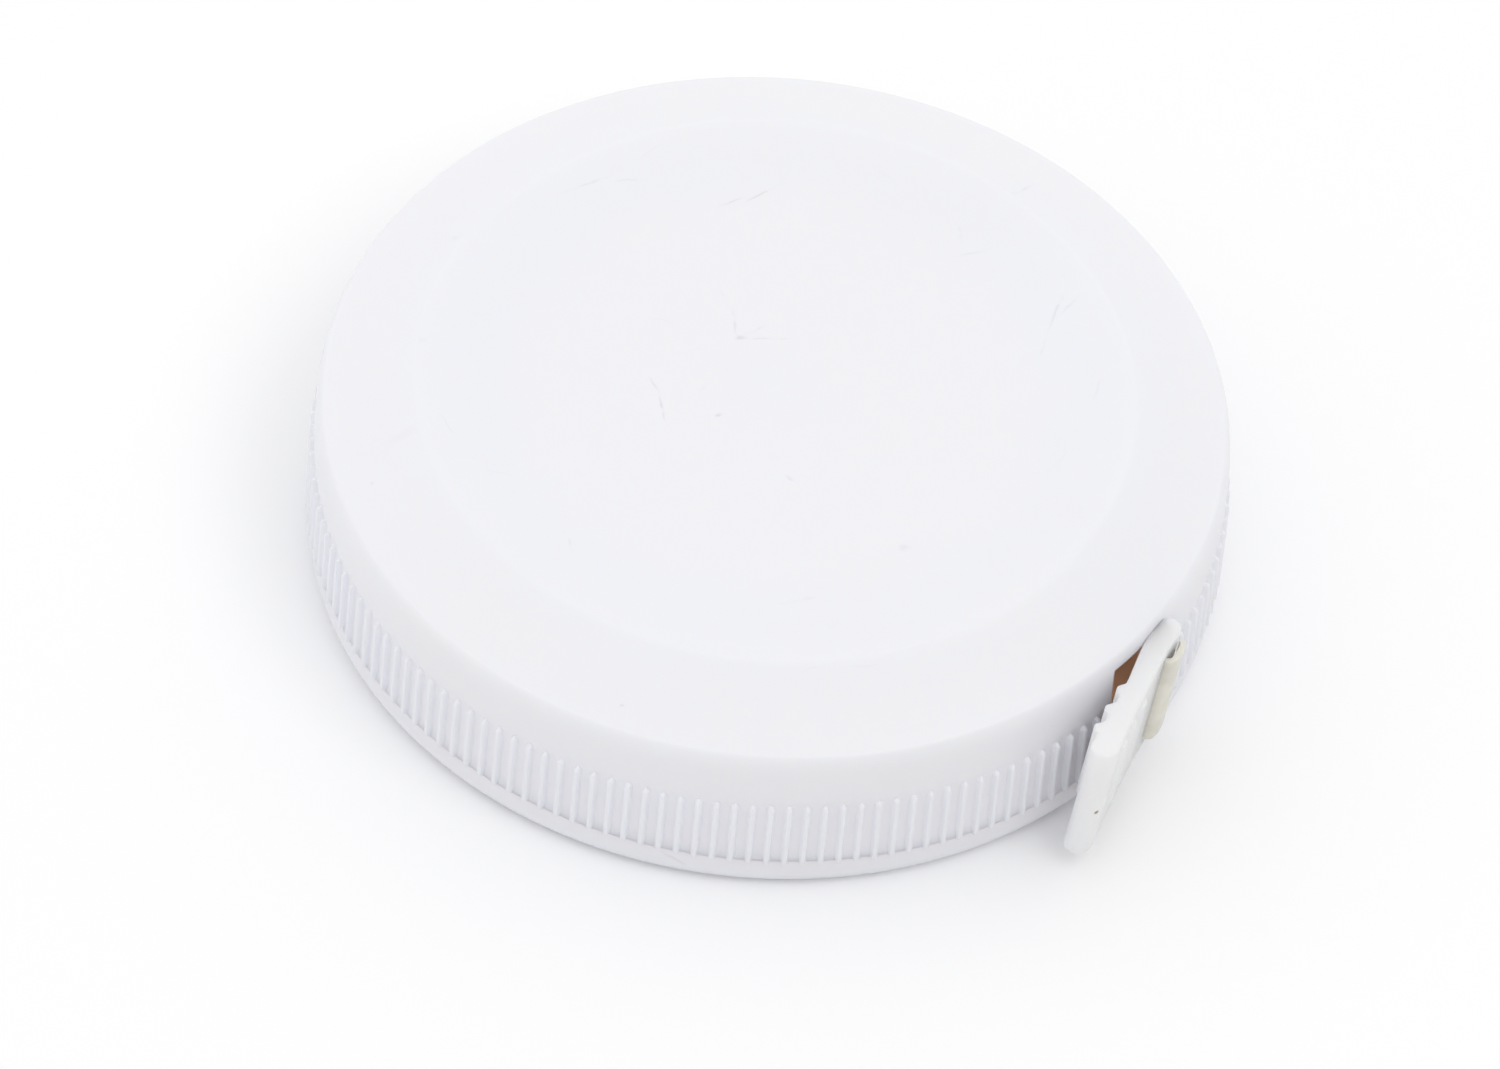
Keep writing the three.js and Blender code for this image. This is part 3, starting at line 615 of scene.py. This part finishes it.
def tapeMaterial():
    look = tapeLook
    material, tree, shader, at = newMaterial("tapeCloth", {
        "IOR": 1.46, "Specular IOR Level": 0.35, "Subsurface Weight": 0.4,
        "Subsurface Radius": (1.0, 0.9, 0.7), "Subsurface Scale": 0.0004})
    place = node(tree, "ShaderNodeAttribute", attribute_name="tapePlace").outputs["Vector"]
    cloud = noise(tree, at, *look["cloud"]).outputs["Fac"]
    weave, weft = (node(tree, "ShaderNodeTexWave", {"Vector": place, **look["threads"]},
                        bands_direction=axis).outputs["Fac"] for axis in "XY")
    ink = placed(tree, divisions, {"Place": place, "Width": look["width"] * mm, "Start": look["zero"] * mm})
    colour = mixed(tree, spread(tree, cloud, *look["clouded"]), look["colour"],
                   darkened(look["colour"], look["darker"]))
    colour = mixed(tree, ink.outputs["Mask"], colour, look["print"])
    finish(tree, shader, colour, spread(tree, cloud, *look["roughness"]), maths(tree, "ADD", weave, weft),
           look["bump"], look["bumpDistance"])
    return material


tapeCloth = tapeMaterial()

# Top of the case: a turned cup with a raised flat centre, a soft shoulder and ribs under a smooth band
caseTop = {
    "steps": 320,
    "foot": 2.33,
    "footFillet": ((0.01, 0), (0.01, 0.04), (-0.08, 0.5), (-0.09, 0.65)),
    "inner": 24.4,
    "band": 25.75,
    "bandFoot": ((-0.09, -0.25), (-0.07, -0.05), (-0.02, 0.25), (0, 0.45), (0, 1.6)),
    "ribTop": 7.0,
    "rimHeight": 10.9,
    "height": 12.9,
    "shoulderOut": 0.48,
    "shoulderDown": 1.2,
    "plateau": 20.05,
    "plateauEdge": 0.2,
    "ceiling": 11.9,
    "ceilingEdge": 0.5,
    "overSlot": 0.01,
    "slotTop": 10.05,
    "slotBottom": 1.3,
    "slotLeft": 1.88,
    "slotRight": 0.84,
    "slotRightAtTop": 0.38,
    "slotStart": 5.0,
    "slotEnd": 27.0,
    "pegs": 3,
    "pegRadius": 0.8,
    "pegCircle": 13.9,
    "pegBottom": 10.05,
    "seatRadius": 1.0,
    "seatBottom": 11.2,
    "rodSides": 24,
    "sharp": 38,
}
gripRibs = {
    "count": 160,
    "radius": 25.5,
    "bottom": 2.36,
    "top": 7.0,
    "foot": 0.6,
    "crest": 0.25,
    "height": 0.5,
    "crestShares": ((0.55, 0.985), (0.95, 0.93), (1.2, 0.8), (1.5, 0.55)),
    "endAngles": (0, 25, 45, 65, 80, 90),
    "endWidth": 0.12,
    "endHeight": 0.05,
    "gapFrom": -35.2,
    "gapTo": -26.9,
}


def slotCutter():
    c = caseTop
    lead = way["leadDistance"]

    def corners(right):
        places = [(lead - c["slotLeft"], c["slotStart"]), (lead + right, c["slotStart"]),
                  (lead + right, c["slotEnd"]), (lead - c["slotLeft"], c["slotEnd"])]
        return [inPull(*place).to_2d() for place in places]

    return meshFrom("slotCutter", lambda bm: prism(bm, corners(c["slotRight"]), c["slotBottom"], c["slotTop"],
                                                  corners(c["slotRightAtTop"])))


def rod(name, at, radius, bottom, top):
    outline = [(at + polar(radius, 360 * k / caseTop["rodSides"])).to_2d() for k in range(caseTop["rodSides"])]
    return meshFrom(name, lambda bm: prism(bm, outline, bottom, top))


# One grip rib: a narrow rounded crest on sloping sides, drawn in to a round end at the top
def ribShape():
    g = gripRibs
    half = g["foot"] / 2
    right = [(g["crest"] / 2 * share, out) for share, out in g["crestShares"]] + [(half, 0)]
    section = [(-a, o) for a, o in reversed(right)] + [(0, 1)] + right
    rings = [(g["bottom"], 1)]
    for angle in g["endAngles"]:
        rings.append((g["top"] - half + half * math.sin(math.radians(angle)), math.cos(math.radians(angle))))

    def build(bm):
        made = []
        for z, size in rings:
            width, out = max(size, g["endWidth"]), g["height"] * max(size, g["endHeight"]) ** 0.5
            made.append([bm.verts.new((a * width, o * out, z)) for a, o in section])
        skin(bm, made)

    return meshFrom("ribShape", build)


def ringOfRibs(shape):
    g = gripRibs
    values = {"Shape": ("Object", shape), "Count": ("Int", g["count"]), "Radius": ("Float", g["radius"] * mm),
              "Gap From": ("Float", math.radians(g["gapFrom"])), "Gap To": ("Float", math.radians(g["gapTo"])),
              "Finish": ("Material", shellPlastic)}
    tree = bpy.data.node_groups.new("ringOfRibs", "GeometryNodeTree")
    tree.interface.new_socket("Geometry", in_out="OUTPUT", socket_type="NodeSocketGeometry")
    tree.interface.new_socket("Geometry", in_out="INPUT", socket_type="NodeSocketGeometry")
    sockets = {label: tree.interface.new_socket(label, in_out="INPUT", socket_type="NodeSocket" + kind)
               for label, (kind, _) in values.items()}
    source, result = tree.nodes.new("NodeGroupInput").outputs, tree.nodes.new("NodeGroupOutput")
    angle = maths(tree, "MULTIPLY", node(tree, "GeometryNodeInputIndex").outputs[0],
                  maths(tree, "DIVIDE", math.tau, source["Count"]))
    signed = maths(tree, "SUBTRACT", angle,
                   maths(tree, "MULTIPLY", maths(tree, "GREATER_THAN", angle, math.pi), math.tau))
    around = node(tree, "ShaderNodeCombineXYZ", {
        "X": maths(tree, "MULTIPLY", maths(tree, "COSINE", angle), source["Radius"]),
        "Y": maths(tree, "MULTIPLY", maths(tree, "SINE", angle), source["Radius"])})
    points = node(tree, "GeometryNodePoints", {"Count": source["Count"], "Position": around.outputs[0]})
    inGap = node(tree, "FunctionNodeBooleanMath", {
        0: maths(tree, "GREATER_THAN", signed, source["Gap From"]),
        1: maths(tree, "LESS_THAN", signed, source["Gap To"])}, operation="AND")
    kept = node(tree, "GeometryNodeDeleteGeometry", {
        "Geometry": points.outputs[0], "Selection": inGap.outputs[0]}, domain="POINT")
    place = node(tree, "GeometryNodeInputPosition").outputs[0]
    parts = node(tree, "ShaderNodeSeparateXYZ", {"Vector": place}).outputs
    facing = maths(tree, "SUBTRACT", maths(tree, "ARCTAN2", parts["Y"], parts["X"]), math.pi / 2)
    copies = node(tree, "GeometryNodeInstanceOnPoints", {
        "Points": kept.outputs[0],
        "Instance": node(tree, "GeometryNodeObjectInfo", {"Object": source["Shape"]}).outputs["Geometry"],
        "Rotation": node(tree, "ShaderNodeCombineXYZ", {"Z": facing}).outputs[0]})
    real = node(tree, "GeometryNodeRealizeInstances", {"Geometry": copies.outputs[0]})
    done = node(tree, "GeometryNodeSetMaterial", {"Geometry": real.outputs[0], "Material": source["Finish"]})
    tree.links.new(done.outputs[0], result.inputs[0])
    item = link("gripRibs", bpy.data.meshes.new("gripRibs"))
    modifier = item.modifiers.new("ringOfRibs", "NODES")
    modifier.node_group = tree
    for label, (_, value) in values.items():
        modifier[sockets[label].identifier] = value
    applied(item)
    bpy.data.objects.remove(shape, do_unlink=True)
    return item


def buildCaseTop():
    c = caseTop
    shoulderFoot = c["band"] - c["shoulderOut"]
    slope = math.atan2(c["height"] - c["rimHeight"], shoulderFoot - c["plateau"] - c["plateauEdge"])
    radius = c["plateauEdge"] / math.tan(slope / 2)
    shoulderEnd = math.degrees(math.atan2(c["shoulderDown"], c["shoulderOut"] * math.tan(slope)))
    profile = [(c["inner"], c["foot"])]
    profile += [(c["band"] + out, c["foot"] + up) for out, up in c["footFillet"]]
    profile += [(c["band"] + out, c["ribTop"] + up) for out, up in c["bandFoot"]]
    profile += arc(shoulderFoot, c["rimHeight"] - c["shoulderDown"], c["shoulderOut"], 0, shoulderEnd, 14,
                   c["shoulderDown"])
    profile += arc(c["plateau"], c["height"] - radius, radius, 90 - math.degrees(slope), 90, 10)
    profile += [(c["plateau"] * k / 5, c["height"]) for k in (4, 3, 2, 1, 0)]
    innerPlateau, innerEdge = c["plateau"] - c["ceilingEdge"], c["slotTop"] + c["overSlot"]
    profile += [(0, c["ceiling"]), (innerPlateau, c["ceiling"]),
                (innerPlateau + (c["ceiling"] - c["slotTop"]) / math.tan(slope), innerEdge),
                (c["inner"], innerEdge)]
    item = meshFrom("caseTop", lambda bm: turned(bm, profile, c["steps"]))
    combine(item, ringOfRibs(ribShape()), "UNION")
    inside = (c["height"] + c["ceiling"]) / 2
    for i in range(c["pegs"]):
        at = polar(c["pegCircle"], 90 + 360 * i / c["pegs"])
        combine(item, rod("peg", at, c["pegRadius"], c["pegBottom"], inside), "UNION")
    combine(item, rod("seat", Vector(), c["seatRadius"], c["seatBottom"], inside), "UNION")
    combine(item, slotCutter(), "DIFFERENCE")
    return smooth(item, c["sharp"])


ride(buildCaseTop(), "case", "shell_plastic", shellPlastic, "top_shell")
print("case top ready")

# Bottom of the case: floor, plain outer band, a ring pressed in the underside, and the button's pocket
caseBottom = {
    "steps": 320,
    "height": 2.35,
    "radius": 25.78,
    "edge": 1.3,
    "lip": 0.04,
    "floor": 1.0,
    "ringRadius": 17.0,
    "ringWidth": 0.8,
    "ringDepth": 0.25,
    "ringEdge": 0.1,
    "rimOuter": 24.1,
    "rimInner": 23.7,
    "rimTop": 3.7,
    "pocket": 4.8,
    "chamfer": 0.4,
    "pocketTop": 2.9,
    "boss": 6.2,
    "bossTop": 3.9,
    "bore": 2.35,
    "sharp": 32,
}


def buildCaseBottom():
    c = caseBottom
    ringIn, ringOut = c["ringRadius"] - c["ringWidth"] / 2, c["ringRadius"] + c["ringWidth"] / 2
    soft, lip = c["ringEdge"], c["lip"]
    profile = [(c["bore"], c["pocketTop"]), (c["pocket"], c["pocketTop"]), (c["pocket"], c["chamfer"])]
    profile += arc(c["pocket"] + c["chamfer"], c["chamfer"], c["chamfer"], 180, 270, 5)
    profile += [(ringIn - soft, 0), (ringIn, soft), (ringIn, c["ringDepth"]), (ringOut, c["ringDepth"]),
                (ringOut, soft), (ringOut + soft, 0), ((ringOut + c["radius"]) / 2, 0)]
    profile += arc(c["radius"] - c["edge"], c["edge"], c["edge"], -90, 0, 10)
    profile += [(c["radius"], c["height"] - lip), (c["radius"] - lip, c["height"]),
                (c["rimOuter"], c["height"]), (c["rimOuter"], c["rimTop"]), (c["rimInner"], c["rimTop"]),
                (c["rimInner"], c["floor"]), (c["boss"], c["floor"]), (c["boss"], c["bossTop"]),
                (c["bore"], c["bossTop"])]
    item = meshFrom("caseBottom", lambda bm: turned(bm, profile, c["steps"]))
    combine(item, slotCutter(), "DIFFERENCE")
    return smooth(item, c["sharp"])


ride(buildCaseBottom(), "case", "shell_plastic", shellPlastic, "bottom_cover")
print("case bottom ready")

# Release button in the underside
pressButton = {
    "steps": 96,
    "radius": 4.5,
    "recess": 0.35,
    "height": 1.6,
    "edge": 0.35,
    "dish": 0.3,
    "stem": 1.2,
    "top": 8.15,
    "hole": 0.7,
    "holeDepth": 2.6,
    "sharp": 32,
}


def buildPressButton():
    b = pressButton
    head = b["recess"] + b["height"]
    rim = b["radius"] - b["edge"] * 2
    profile = [(rim * k / 10, b["recess"] + b["dish"] * (1 - (k / 10) ** 2)) for k in range(10)]
    profile += [(rim, b["recess"])]
    profile += arc(b["radius"] - b["edge"], b["recess"] + b["edge"], b["edge"], -90, 0, 5)
    profile += [(b["radius"], head), (b["stem"], head), (b["stem"], b["top"]), (b["hole"], b["top"]),
                (b["hole"], b["top"] - b["holeDepth"]), (0, b["top"] - b["holeDepth"])]
    return smooth(meshFrom("pressButton", lambda bm: turned(bm, profile, b["steps"])), b["sharp"])


ride(buildPressButton(), "button", "shell_plastic", shellPlastic, "release_button")
print("button ready")

# Pull tab: a flat plate with a round tip, a slit for the tape and three ridges on each face
gripTab = {
    "length": 11.12,
    "root": 1.4,
    "leftHalf": ((0.7, 0.7), (1.6, 0.8), (2.6, 0.84), (4.0, 0.75), (5.6, 0.66), (8.6, 0.7), (10.37, 0.78)),
    "rightHalf": ((0.7, 0.68), (2.3, 0.57), (4.2, 0.56), (7.0, 0.62), (10.37, 0.8)),
    "bottom": 1.45,
    "top": 10.5,
    "corner": 0.75,
    "rim": 0.16,
    "rimSteps": 3,
    "rimAngle": 60,
    "back": 0.26,
    "left": 0.14,
    "clear": 25.765,
    "slitStart": 1.83,
    "slitWidth": 0.52,
    "slitReach": 2,
    "slitBottom": 2.15,
    "slitTop": 9.45,
    "ridges": (6.07, 7.62, 9.15),
    "ridgeFoot": 1.0,
    "ridgeCrest": 0.2,
    "ridgeInside": 0.2,
    "ridgeRoot": 0.66,
    "leftCrest": (1.0, 1.08, 1.12),
    "rightCrest": (0.86, 0.9, 0.98),
    "ridgeBottom": 4.5,
    "leftRidgeTop": 10.49,
    "rightRidgeTop": 9.9,
    "voxel": 0.06,
    "evened": 3,
    "evenShare": 0.5,
}
tabTip = pullRight * way["tipAcross"] + pull * way["tipAlong"]


def leanedPlace(at, share=1.0):
    shift = -math.tan(math.radians(way["lean"])) * (gripTab["top"] - at.z) * share
    return at + tabRight * shift


def inGrip(along, right, z=0):  # along the tab from its tip, a little closer to the wall than its solid
    t = gripTab
    return tabTip + tabAlong * (along - t["back"]) + tabRight * (right - t["left"]) + Vector((0, 0, z))


def clearOfWall(at):  # pushes a place out of the wall and the shoulder over it
    c = caseTop
    rise = (at.z - c["rimHeight"] + c["shoulderDown"]) / c["shoulderDown"]
    drawn = c["shoulderOut"] * (1 - math.sqrt(max(1 - max(rise, 0) ** 2, 0)))
    least = gripTab["clear"] - drawn
    reach = math.hypot(at.x, at.y)
    return Vector((at.x * least / reach, at.y * least / reach, at.z)) if reach < least else at


def buildGripTab():
    t = gripTab
    root, corner, corners = t["root"] / 2, t["corner"], t["length"] - t["corner"]
    left, right = t["leftHalf"], t["rightHalf"]
    outline = arc(root, 0, root, 270, 90, 12)
    outline += curveThrough(right, 3)[1:]
    outline += arc(corners, right[-1][1] - corner, corner, 75, 0, 5)
    outline += arc(corners, corner - left[-1][1], corner, 0, -90, 6)
    outline += [(a, -w) for a, w in reversed(curveThrough(left, 3)[1:-1])]
    item = meshFrom("gripTab", lambda bm: prism(bm, outline, t["bottom"], t["top"]), 1)
    rim = item.modifiers.new("rim", "BEVEL")
    rim.width, rim.segments = t["rim"], t["rimSteps"]
    rim.limit_method, rim.angle_limit = "ANGLE", math.radians(t["rimAngle"])
    applied(item)

    def ridges(side, crests, top):
        def build(bm):
            foot, crest = t["ridgeFoot"] / 2, t["ridgeCrest"] / 2
            inner, rootOut = t["ridgeInside"], t["ridgeRoot"]
            for along, high in zip(t["ridges"], crests):
                section = ((-foot, inner), (-foot, rootOut), (-crest, high), (crest, high), (foot, rootOut),
                           (foot, inner))
                prism(bm, [(along + a, side * out) for a, out in section], t["ridgeBottom"], top)
        return meshFrom("ridges", build, 1)

    combine(item, ridges(-1, t["leftCrest"], t["leftRidgeTop"]), "UNION")
    combine(item, ridges(1, t["rightCrest"], t["rightRidgeTop"]), "UNION")
    start, end, far = t["slitStart"], t["slitStart"] + t["slitWidth"], t["slitReach"]
    slit = [(start, -far), (end, -far), (end, far), (start, far)]
    combine(item, meshFrom("slit", lambda bm: prism(bm, slit, t["slitBottom"], t["slitTop"]), 1), "DIFFERENCE")
    fine = item.modifiers.new("fine", "REMESH")
    fine.mode, fine.voxel_size, fine.adaptivity = "VOXEL", t["voxel"], 0
    even = item.modifiers.new("even", "SMOOTH")
    even.factor, even.iterations = t["evenShare"], t["evened"]
    applied(item)
    for vertex in item.data.vertices:
        vertex.co = clearOfWall(leanedPlace(inGrip(*vertex.co))) * mm
    item.data.polygons.foreach_set("use_smooth", [True] * len(item.data.polygons))
    return item


ride(buildGripTab(), "tape_end", "tab_plastic", tabPlastic, "pull_tab")
print("tab ready")

# The tape's visible end: straight out of the coil, through the tab's slit and back beside its tip
tapeEnd = {
    "start": 0.4,
    "thickness": 0.31,
    "bend": 0.4,
    "beside": 0.1,
    "tail": ((2.06, -0.1), (2.06, 0.3), (2.06, 0.62), (1.94, 0.88), (1.6, 1.0), (1.2, 1.04), (0.75, 1.03),
             (0.42, 0.97), (0.14, 0.82)),
    "straightSteps": 60,
    "rows": 6,
    "cornerRadius": 1.0,
    "topCornerShare": 0.3,
    "blendFrom": 0.6,
    "blendTo": 5.0,
    "blendHeight": 5.8,
}


def alongOf(path, i):
    return (path[min(i + 1, len(path) - 1)] - path[max(i - 1, 0)]).normalized()


def lengthsOf(path):
    lengths = [0.0]
    for a, b in zip(path, path[1:]):
        lengths.append(lengths[-1] + (b - a).length)
    return lengths


def tapeStrip(name, rings):  # each corner comes with its length out, and the mesh keeps the place on the tape
    def build(bm):
        layer = bm.verts.layers.float_vector.new("tapePlace")
        made = []
        for ring in rings:
            made.append([])
            for at, out in ring:
                made[-1].append(bm.verts.new(at))
                made[-1][-1][layer] = Vector((out, at.z - tapeLook["bottom"], 0)) * mm
        skin(bm, made)

    return smooth(meshFrom(name, build), tapeLook["sharp"])


def tapePath():
    t, e = gripTab, tapeEnd
    beside = -(t["root"] + e["thickness"]) / 2 - e["beside"]
    turn = t["slitStart"] + t["slitWidth"] / 2 - e["bend"]
    corner = inGrip(0, beside)
    endAlong = corner.dot(pull)
    points = [inPull(way["leadDistance"], e["start"] + (endAlong - e["start"]) * k / e["straightSteps"])
              for k in range(e["straightSteps"])]
    points += [corner]
    points += [inGrip(turn * k / 3, beside) for k in (1, 2)]
    points += [inGrip(a, r) for a, r in arc(turn, beside + e["bend"], e["bend"], -90, 0, 8)]
    points += [inGrip(a, r) for a, r in curveThrough(e["tail"], 5)]
    return points, endAlong


def buildTapeEnd():
    e = tapeEnd
    path, endAlong = tapePath()
    lengths = lengthsOf(path)
    cut = e["cornerRadius"]
    rings = []
    for i, at in enumerate(path):
        along = alongOf(path, i)
        side = Vector((-along.y, along.x, 0)) * e["thickness"] / 2
        fromEnd = lengths[-1] - lengths[i]
        low = cut - math.sqrt(max(cut * cut - (cut - fromEnd) ** 2, 0)) if fromEnd < cut else 0.0
        bottom = tapeLook["bottom"] + low
        top = tapeLook["bottom"] + tapeLook["width"] - low * e["topCornerShare"]
        heights = [bottom + (top - bottom) * k / e["rows"] for k in range(e["rows"] + 1)]
        lean = min(max((at.dot(pull) - e["start"]) / (endAlong - e["start"]), 0), 1)
        t = min(max((at.dot(pull) - e["blendFrom"]) / (e["blendTo"] - e["blendFrom"]), 0), 1)
        out = fromEnd + way["travel"] * (1 - t * t * (3 - 2 * t))
        corners = [at - side + Vector((0, 0, z)) for z in heights]
        corners += [at + side + Vector((0, 0, z)) for z in reversed(heights)]
        rings.append([(leanedPlace(corner, lean), out) for corner in corners])
    return tapeStrip("tapeEnd", rings)


def layTape():
    item = buildTapeEnd()
    item.data.materials.append(tapeCloth)
    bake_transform(item)
    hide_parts("tape_lead")


layTape()

# The wound tape: one unbroken spiral from the hub's groove out to the slot
tapeCoil = {
    "inner": 11.36,
    "outer": 22.14,
    "turns": 14.104403,
    "stepsPerTurn": 72,
    "groove": 10.6,
    "run": 1.75,
    "top": 9.3,
    "outLength": 16.3,
}


def buildTapeCoil():
    c = tapeCoil
    start = way["pullAngle"] + 90 + c["turns"] * 360
    join = math.degrees(c["run"] / c["inner"])
    steps = round(c["turns"] * c["stepsPerTurn"])
    path = [polar(c["groove"], start), polar(c["inner"], start - join)]
    for i in range(steps + 1):
        angle = 360 * c["turns"] * i / steps
        if angle > join:
            path.append(polar(c["inner"] + (c["outer"] - c["inner"]) * i / steps, start - angle))
    lengths = lengthsOf(path)
    low, high = Vector((0, 0, tapeLook["bottom"])), Vector((0, 0, c["top"]))
    rings = []
    for i, at in enumerate(path):
        along = alongOf(path, i)
        side = Vector((-along.y, along.x, 0)) * tapeLook["thickness"] / 2
        out = c["outLength"] + way["travel"] + lengths[-1] - lengths[i]
        rings.append([(corner, out) for corner in (at - side + low, at - side + high, at + side + high,
                                                   at + side + low)])
    return tapeStrip("tapeCoil", rings)


ride(buildTapeCoil(), "reel", "tape_cloth", tapeCloth, "tape_winding")
print("tape ready")

# Brake spring: a wire coil with closed ends, under the ceiling
brakeCoil = {
    "bottom": 8.68,
    "top": 11.87,
    "wire": 0.17,
    "radius": 1.65,
    "closedTurns": 1.0,
    "closedPitch": 0.36,
    "openTurns": 2.5,
    "steps": 28,
    "sides": 10,
    "press": 0.8,
    "sharp": 50,
}


def buildBrakeSpring():
    c = brakeCoil
    turns = c["openTurns"] + 2 * c["closedTurns"]
    low, high = c["bottom"] + c["wire"], c["top"] - c["wire"]
    openPitch = (high - low - 2 * c["closedTurns"] * c["closedPitch"]) / c["openTurns"]
    wire = arc(c["radius"], 0, c["wire"], 0, 360, c["sides"])[:-1]

    def build(bm):
        rings = []
        for i in range(int(turns * c["steps"]) + 1):
            turn = i / c["steps"]
            opened = min(max(turn - c["closedTurns"], 0), c["openTurns"])
            height = low + opened * openPitch + (turn - opened) * c["closedPitch"]
            rings.append([bm.verts.new(polar(r, 360 * turn, height + z)) for r, z in wire])
        skin(bm, rings)

    return smooth(meshFrom("brakeCoil", build), c["sharp"])


brakeSpring = buildBrakeSpring()
ride(brakeSpring, "button", "washer_steel", washerSteel, "brake_spring")
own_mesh(brakeSpring)
print("spring ready")

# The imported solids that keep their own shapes
solidFinish = (
    (innerPlastic, ("centre_post", "reel_drum", "drum_lid", "spring_shim", "tape_key", "brake_disc")),
    (washerSteel, ("thrust_washer", "retaining_ring", "stem_screw")),
    (springSteel, ("mainspring",)),
    (brakeRubber, ("brake_ring",)),
)
for material, names in solidFinish:
    for name in names:
        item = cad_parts[name]
        item.data.materials.clear()
        item.data.materials.append(material)
print("solids dressed")

# Floor and light: a white sweep that keeps the soft shadow, light from all round and one softbox
studio = {
    "floorSize": 6.0,
    "floorBounce": 0.88,
    "floorLit": 0.98,
    "floorOwn": 0.04,
    "horizon": 0.95,
    "zenith": 0.9,
    "darkSide": -50,
    "darkFall": 2.0,
    "darkest": 0.0,
    "backdrop": 1.0,
    "lampPlace": (0.609, -0.511, 1.272),
    "lampSize": 0.8,
    "lampPower": 3.0,
}
white = (1, 1, 1, 1)


def buildFloor():
    s = studio
    half = s["floorSize"] / 2
    item = meshFrom("floor", lambda bm: bm.faces.new([bm.verts.new((x, y, 0)) for x, y in (
        (-half, -half), (half, -half), (half, half), (-half, half))]), 1)
    material = bpy.data.materials.new("floorPaper")
    material.use_nodes = True
    tree = material.node_tree
    tree.nodes.clear()
    output = node(tree, "ShaderNodeOutputMaterial")
    seen = node(tree, "ShaderNodeLightPath").outputs
    toEye = maths(tree, "MAXIMUM", seen["Is Camera Ray"],
                  maths(tree, "MAXIMUM", seen["Is Glossy Ray"], seen["Is Transmission Ray"]))
    paper = node(tree, "ShaderNodeBsdfDiffuse", {"Color": (s["floorBounce"],) * 3 + (1,)})
    shaded = node(tree, "ShaderNodeBsdfDiffuse", {"Color": (s["floorLit"],) * 3 + (1,)})
    own = node(tree, "ShaderNodeEmission", {"Color": white, "Strength": s["floorOwn"]})
    both = node(tree, "ShaderNodeAddShader", {0: shaded.outputs[0], 1: own.outputs[0]})
    blend = node(tree, "ShaderNodeMixShader", {0: toEye, 1: paper.outputs[0], 2: both.outputs[0]})
    tree.links.new(blend.outputs[0], output.inputs["Surface"])
    item.data.materials.append(material)


def buildWorld():
    s = studio
    world = bpy.data.worlds.new("studio")
    world.use_nodes = True
    bpy.context.scene.world = world
    tree = world.node_tree
    tree.nodes.clear()
    output = node(tree, "ShaderNodeOutputWorld")
    toEye = node(tree, "ShaderNodeLightPath").outputs["Is Camera Ray"]
    facing = node(tree, "ShaderNodeTexCoord").outputs["Generated"]
    rise = node(tree, "ShaderNodeSeparateXYZ", {"Vector": facing}).outputs["Z"]
    level = spread(tree, rise, 0.0, 1.0, s["horizon"], s["zenith"], "LINEAR")
    side = vectors(tree, "DOT_PRODUCT", facing, polar(1, s["darkSide"]))
    low = maths(tree, "POWER", maths(tree, "SUBTRACT", 1.0, rise, clamp=True), s["darkFall"])
    dim = spread(tree, maths(tree, "MULTIPLY", side, low), 0.0, 1.0, 1.0, s["darkest"], "LINEAR")
    soft = node(tree, "ShaderNodeBackground", {"Color": white, "Strength": maths(tree, "MULTIPLY", level, dim)})
    plain = node(tree, "ShaderNodeBackground", {"Color": white, "Strength": s["backdrop"]})
    blend = node(tree, "ShaderNodeMixShader", {0: toEye, 1: soft.outputs[0], 2: plain.outputs[0]})
    tree.links.new(blend.outputs[0], output.inputs["Surface"])


def buildLamp():
    data = bpy.data.lights.new("softbox", "AREA")
    data.shape = "SQUARE"
    data.size = studio["lampSize"]
    data.energy = studio["lampPower"]
    item = bpy.data.objects.new("softbox", data)
    item.location = studio["lampPlace"]
    item.rotation_euler = Vector(studio["lampPlace"]).to_track_quat("Z", "Y").to_euler()
    bpy.context.scene.collection.objects.link(item)


buildFloor()
buildWorld()
buildLamp()
print("studio ready")
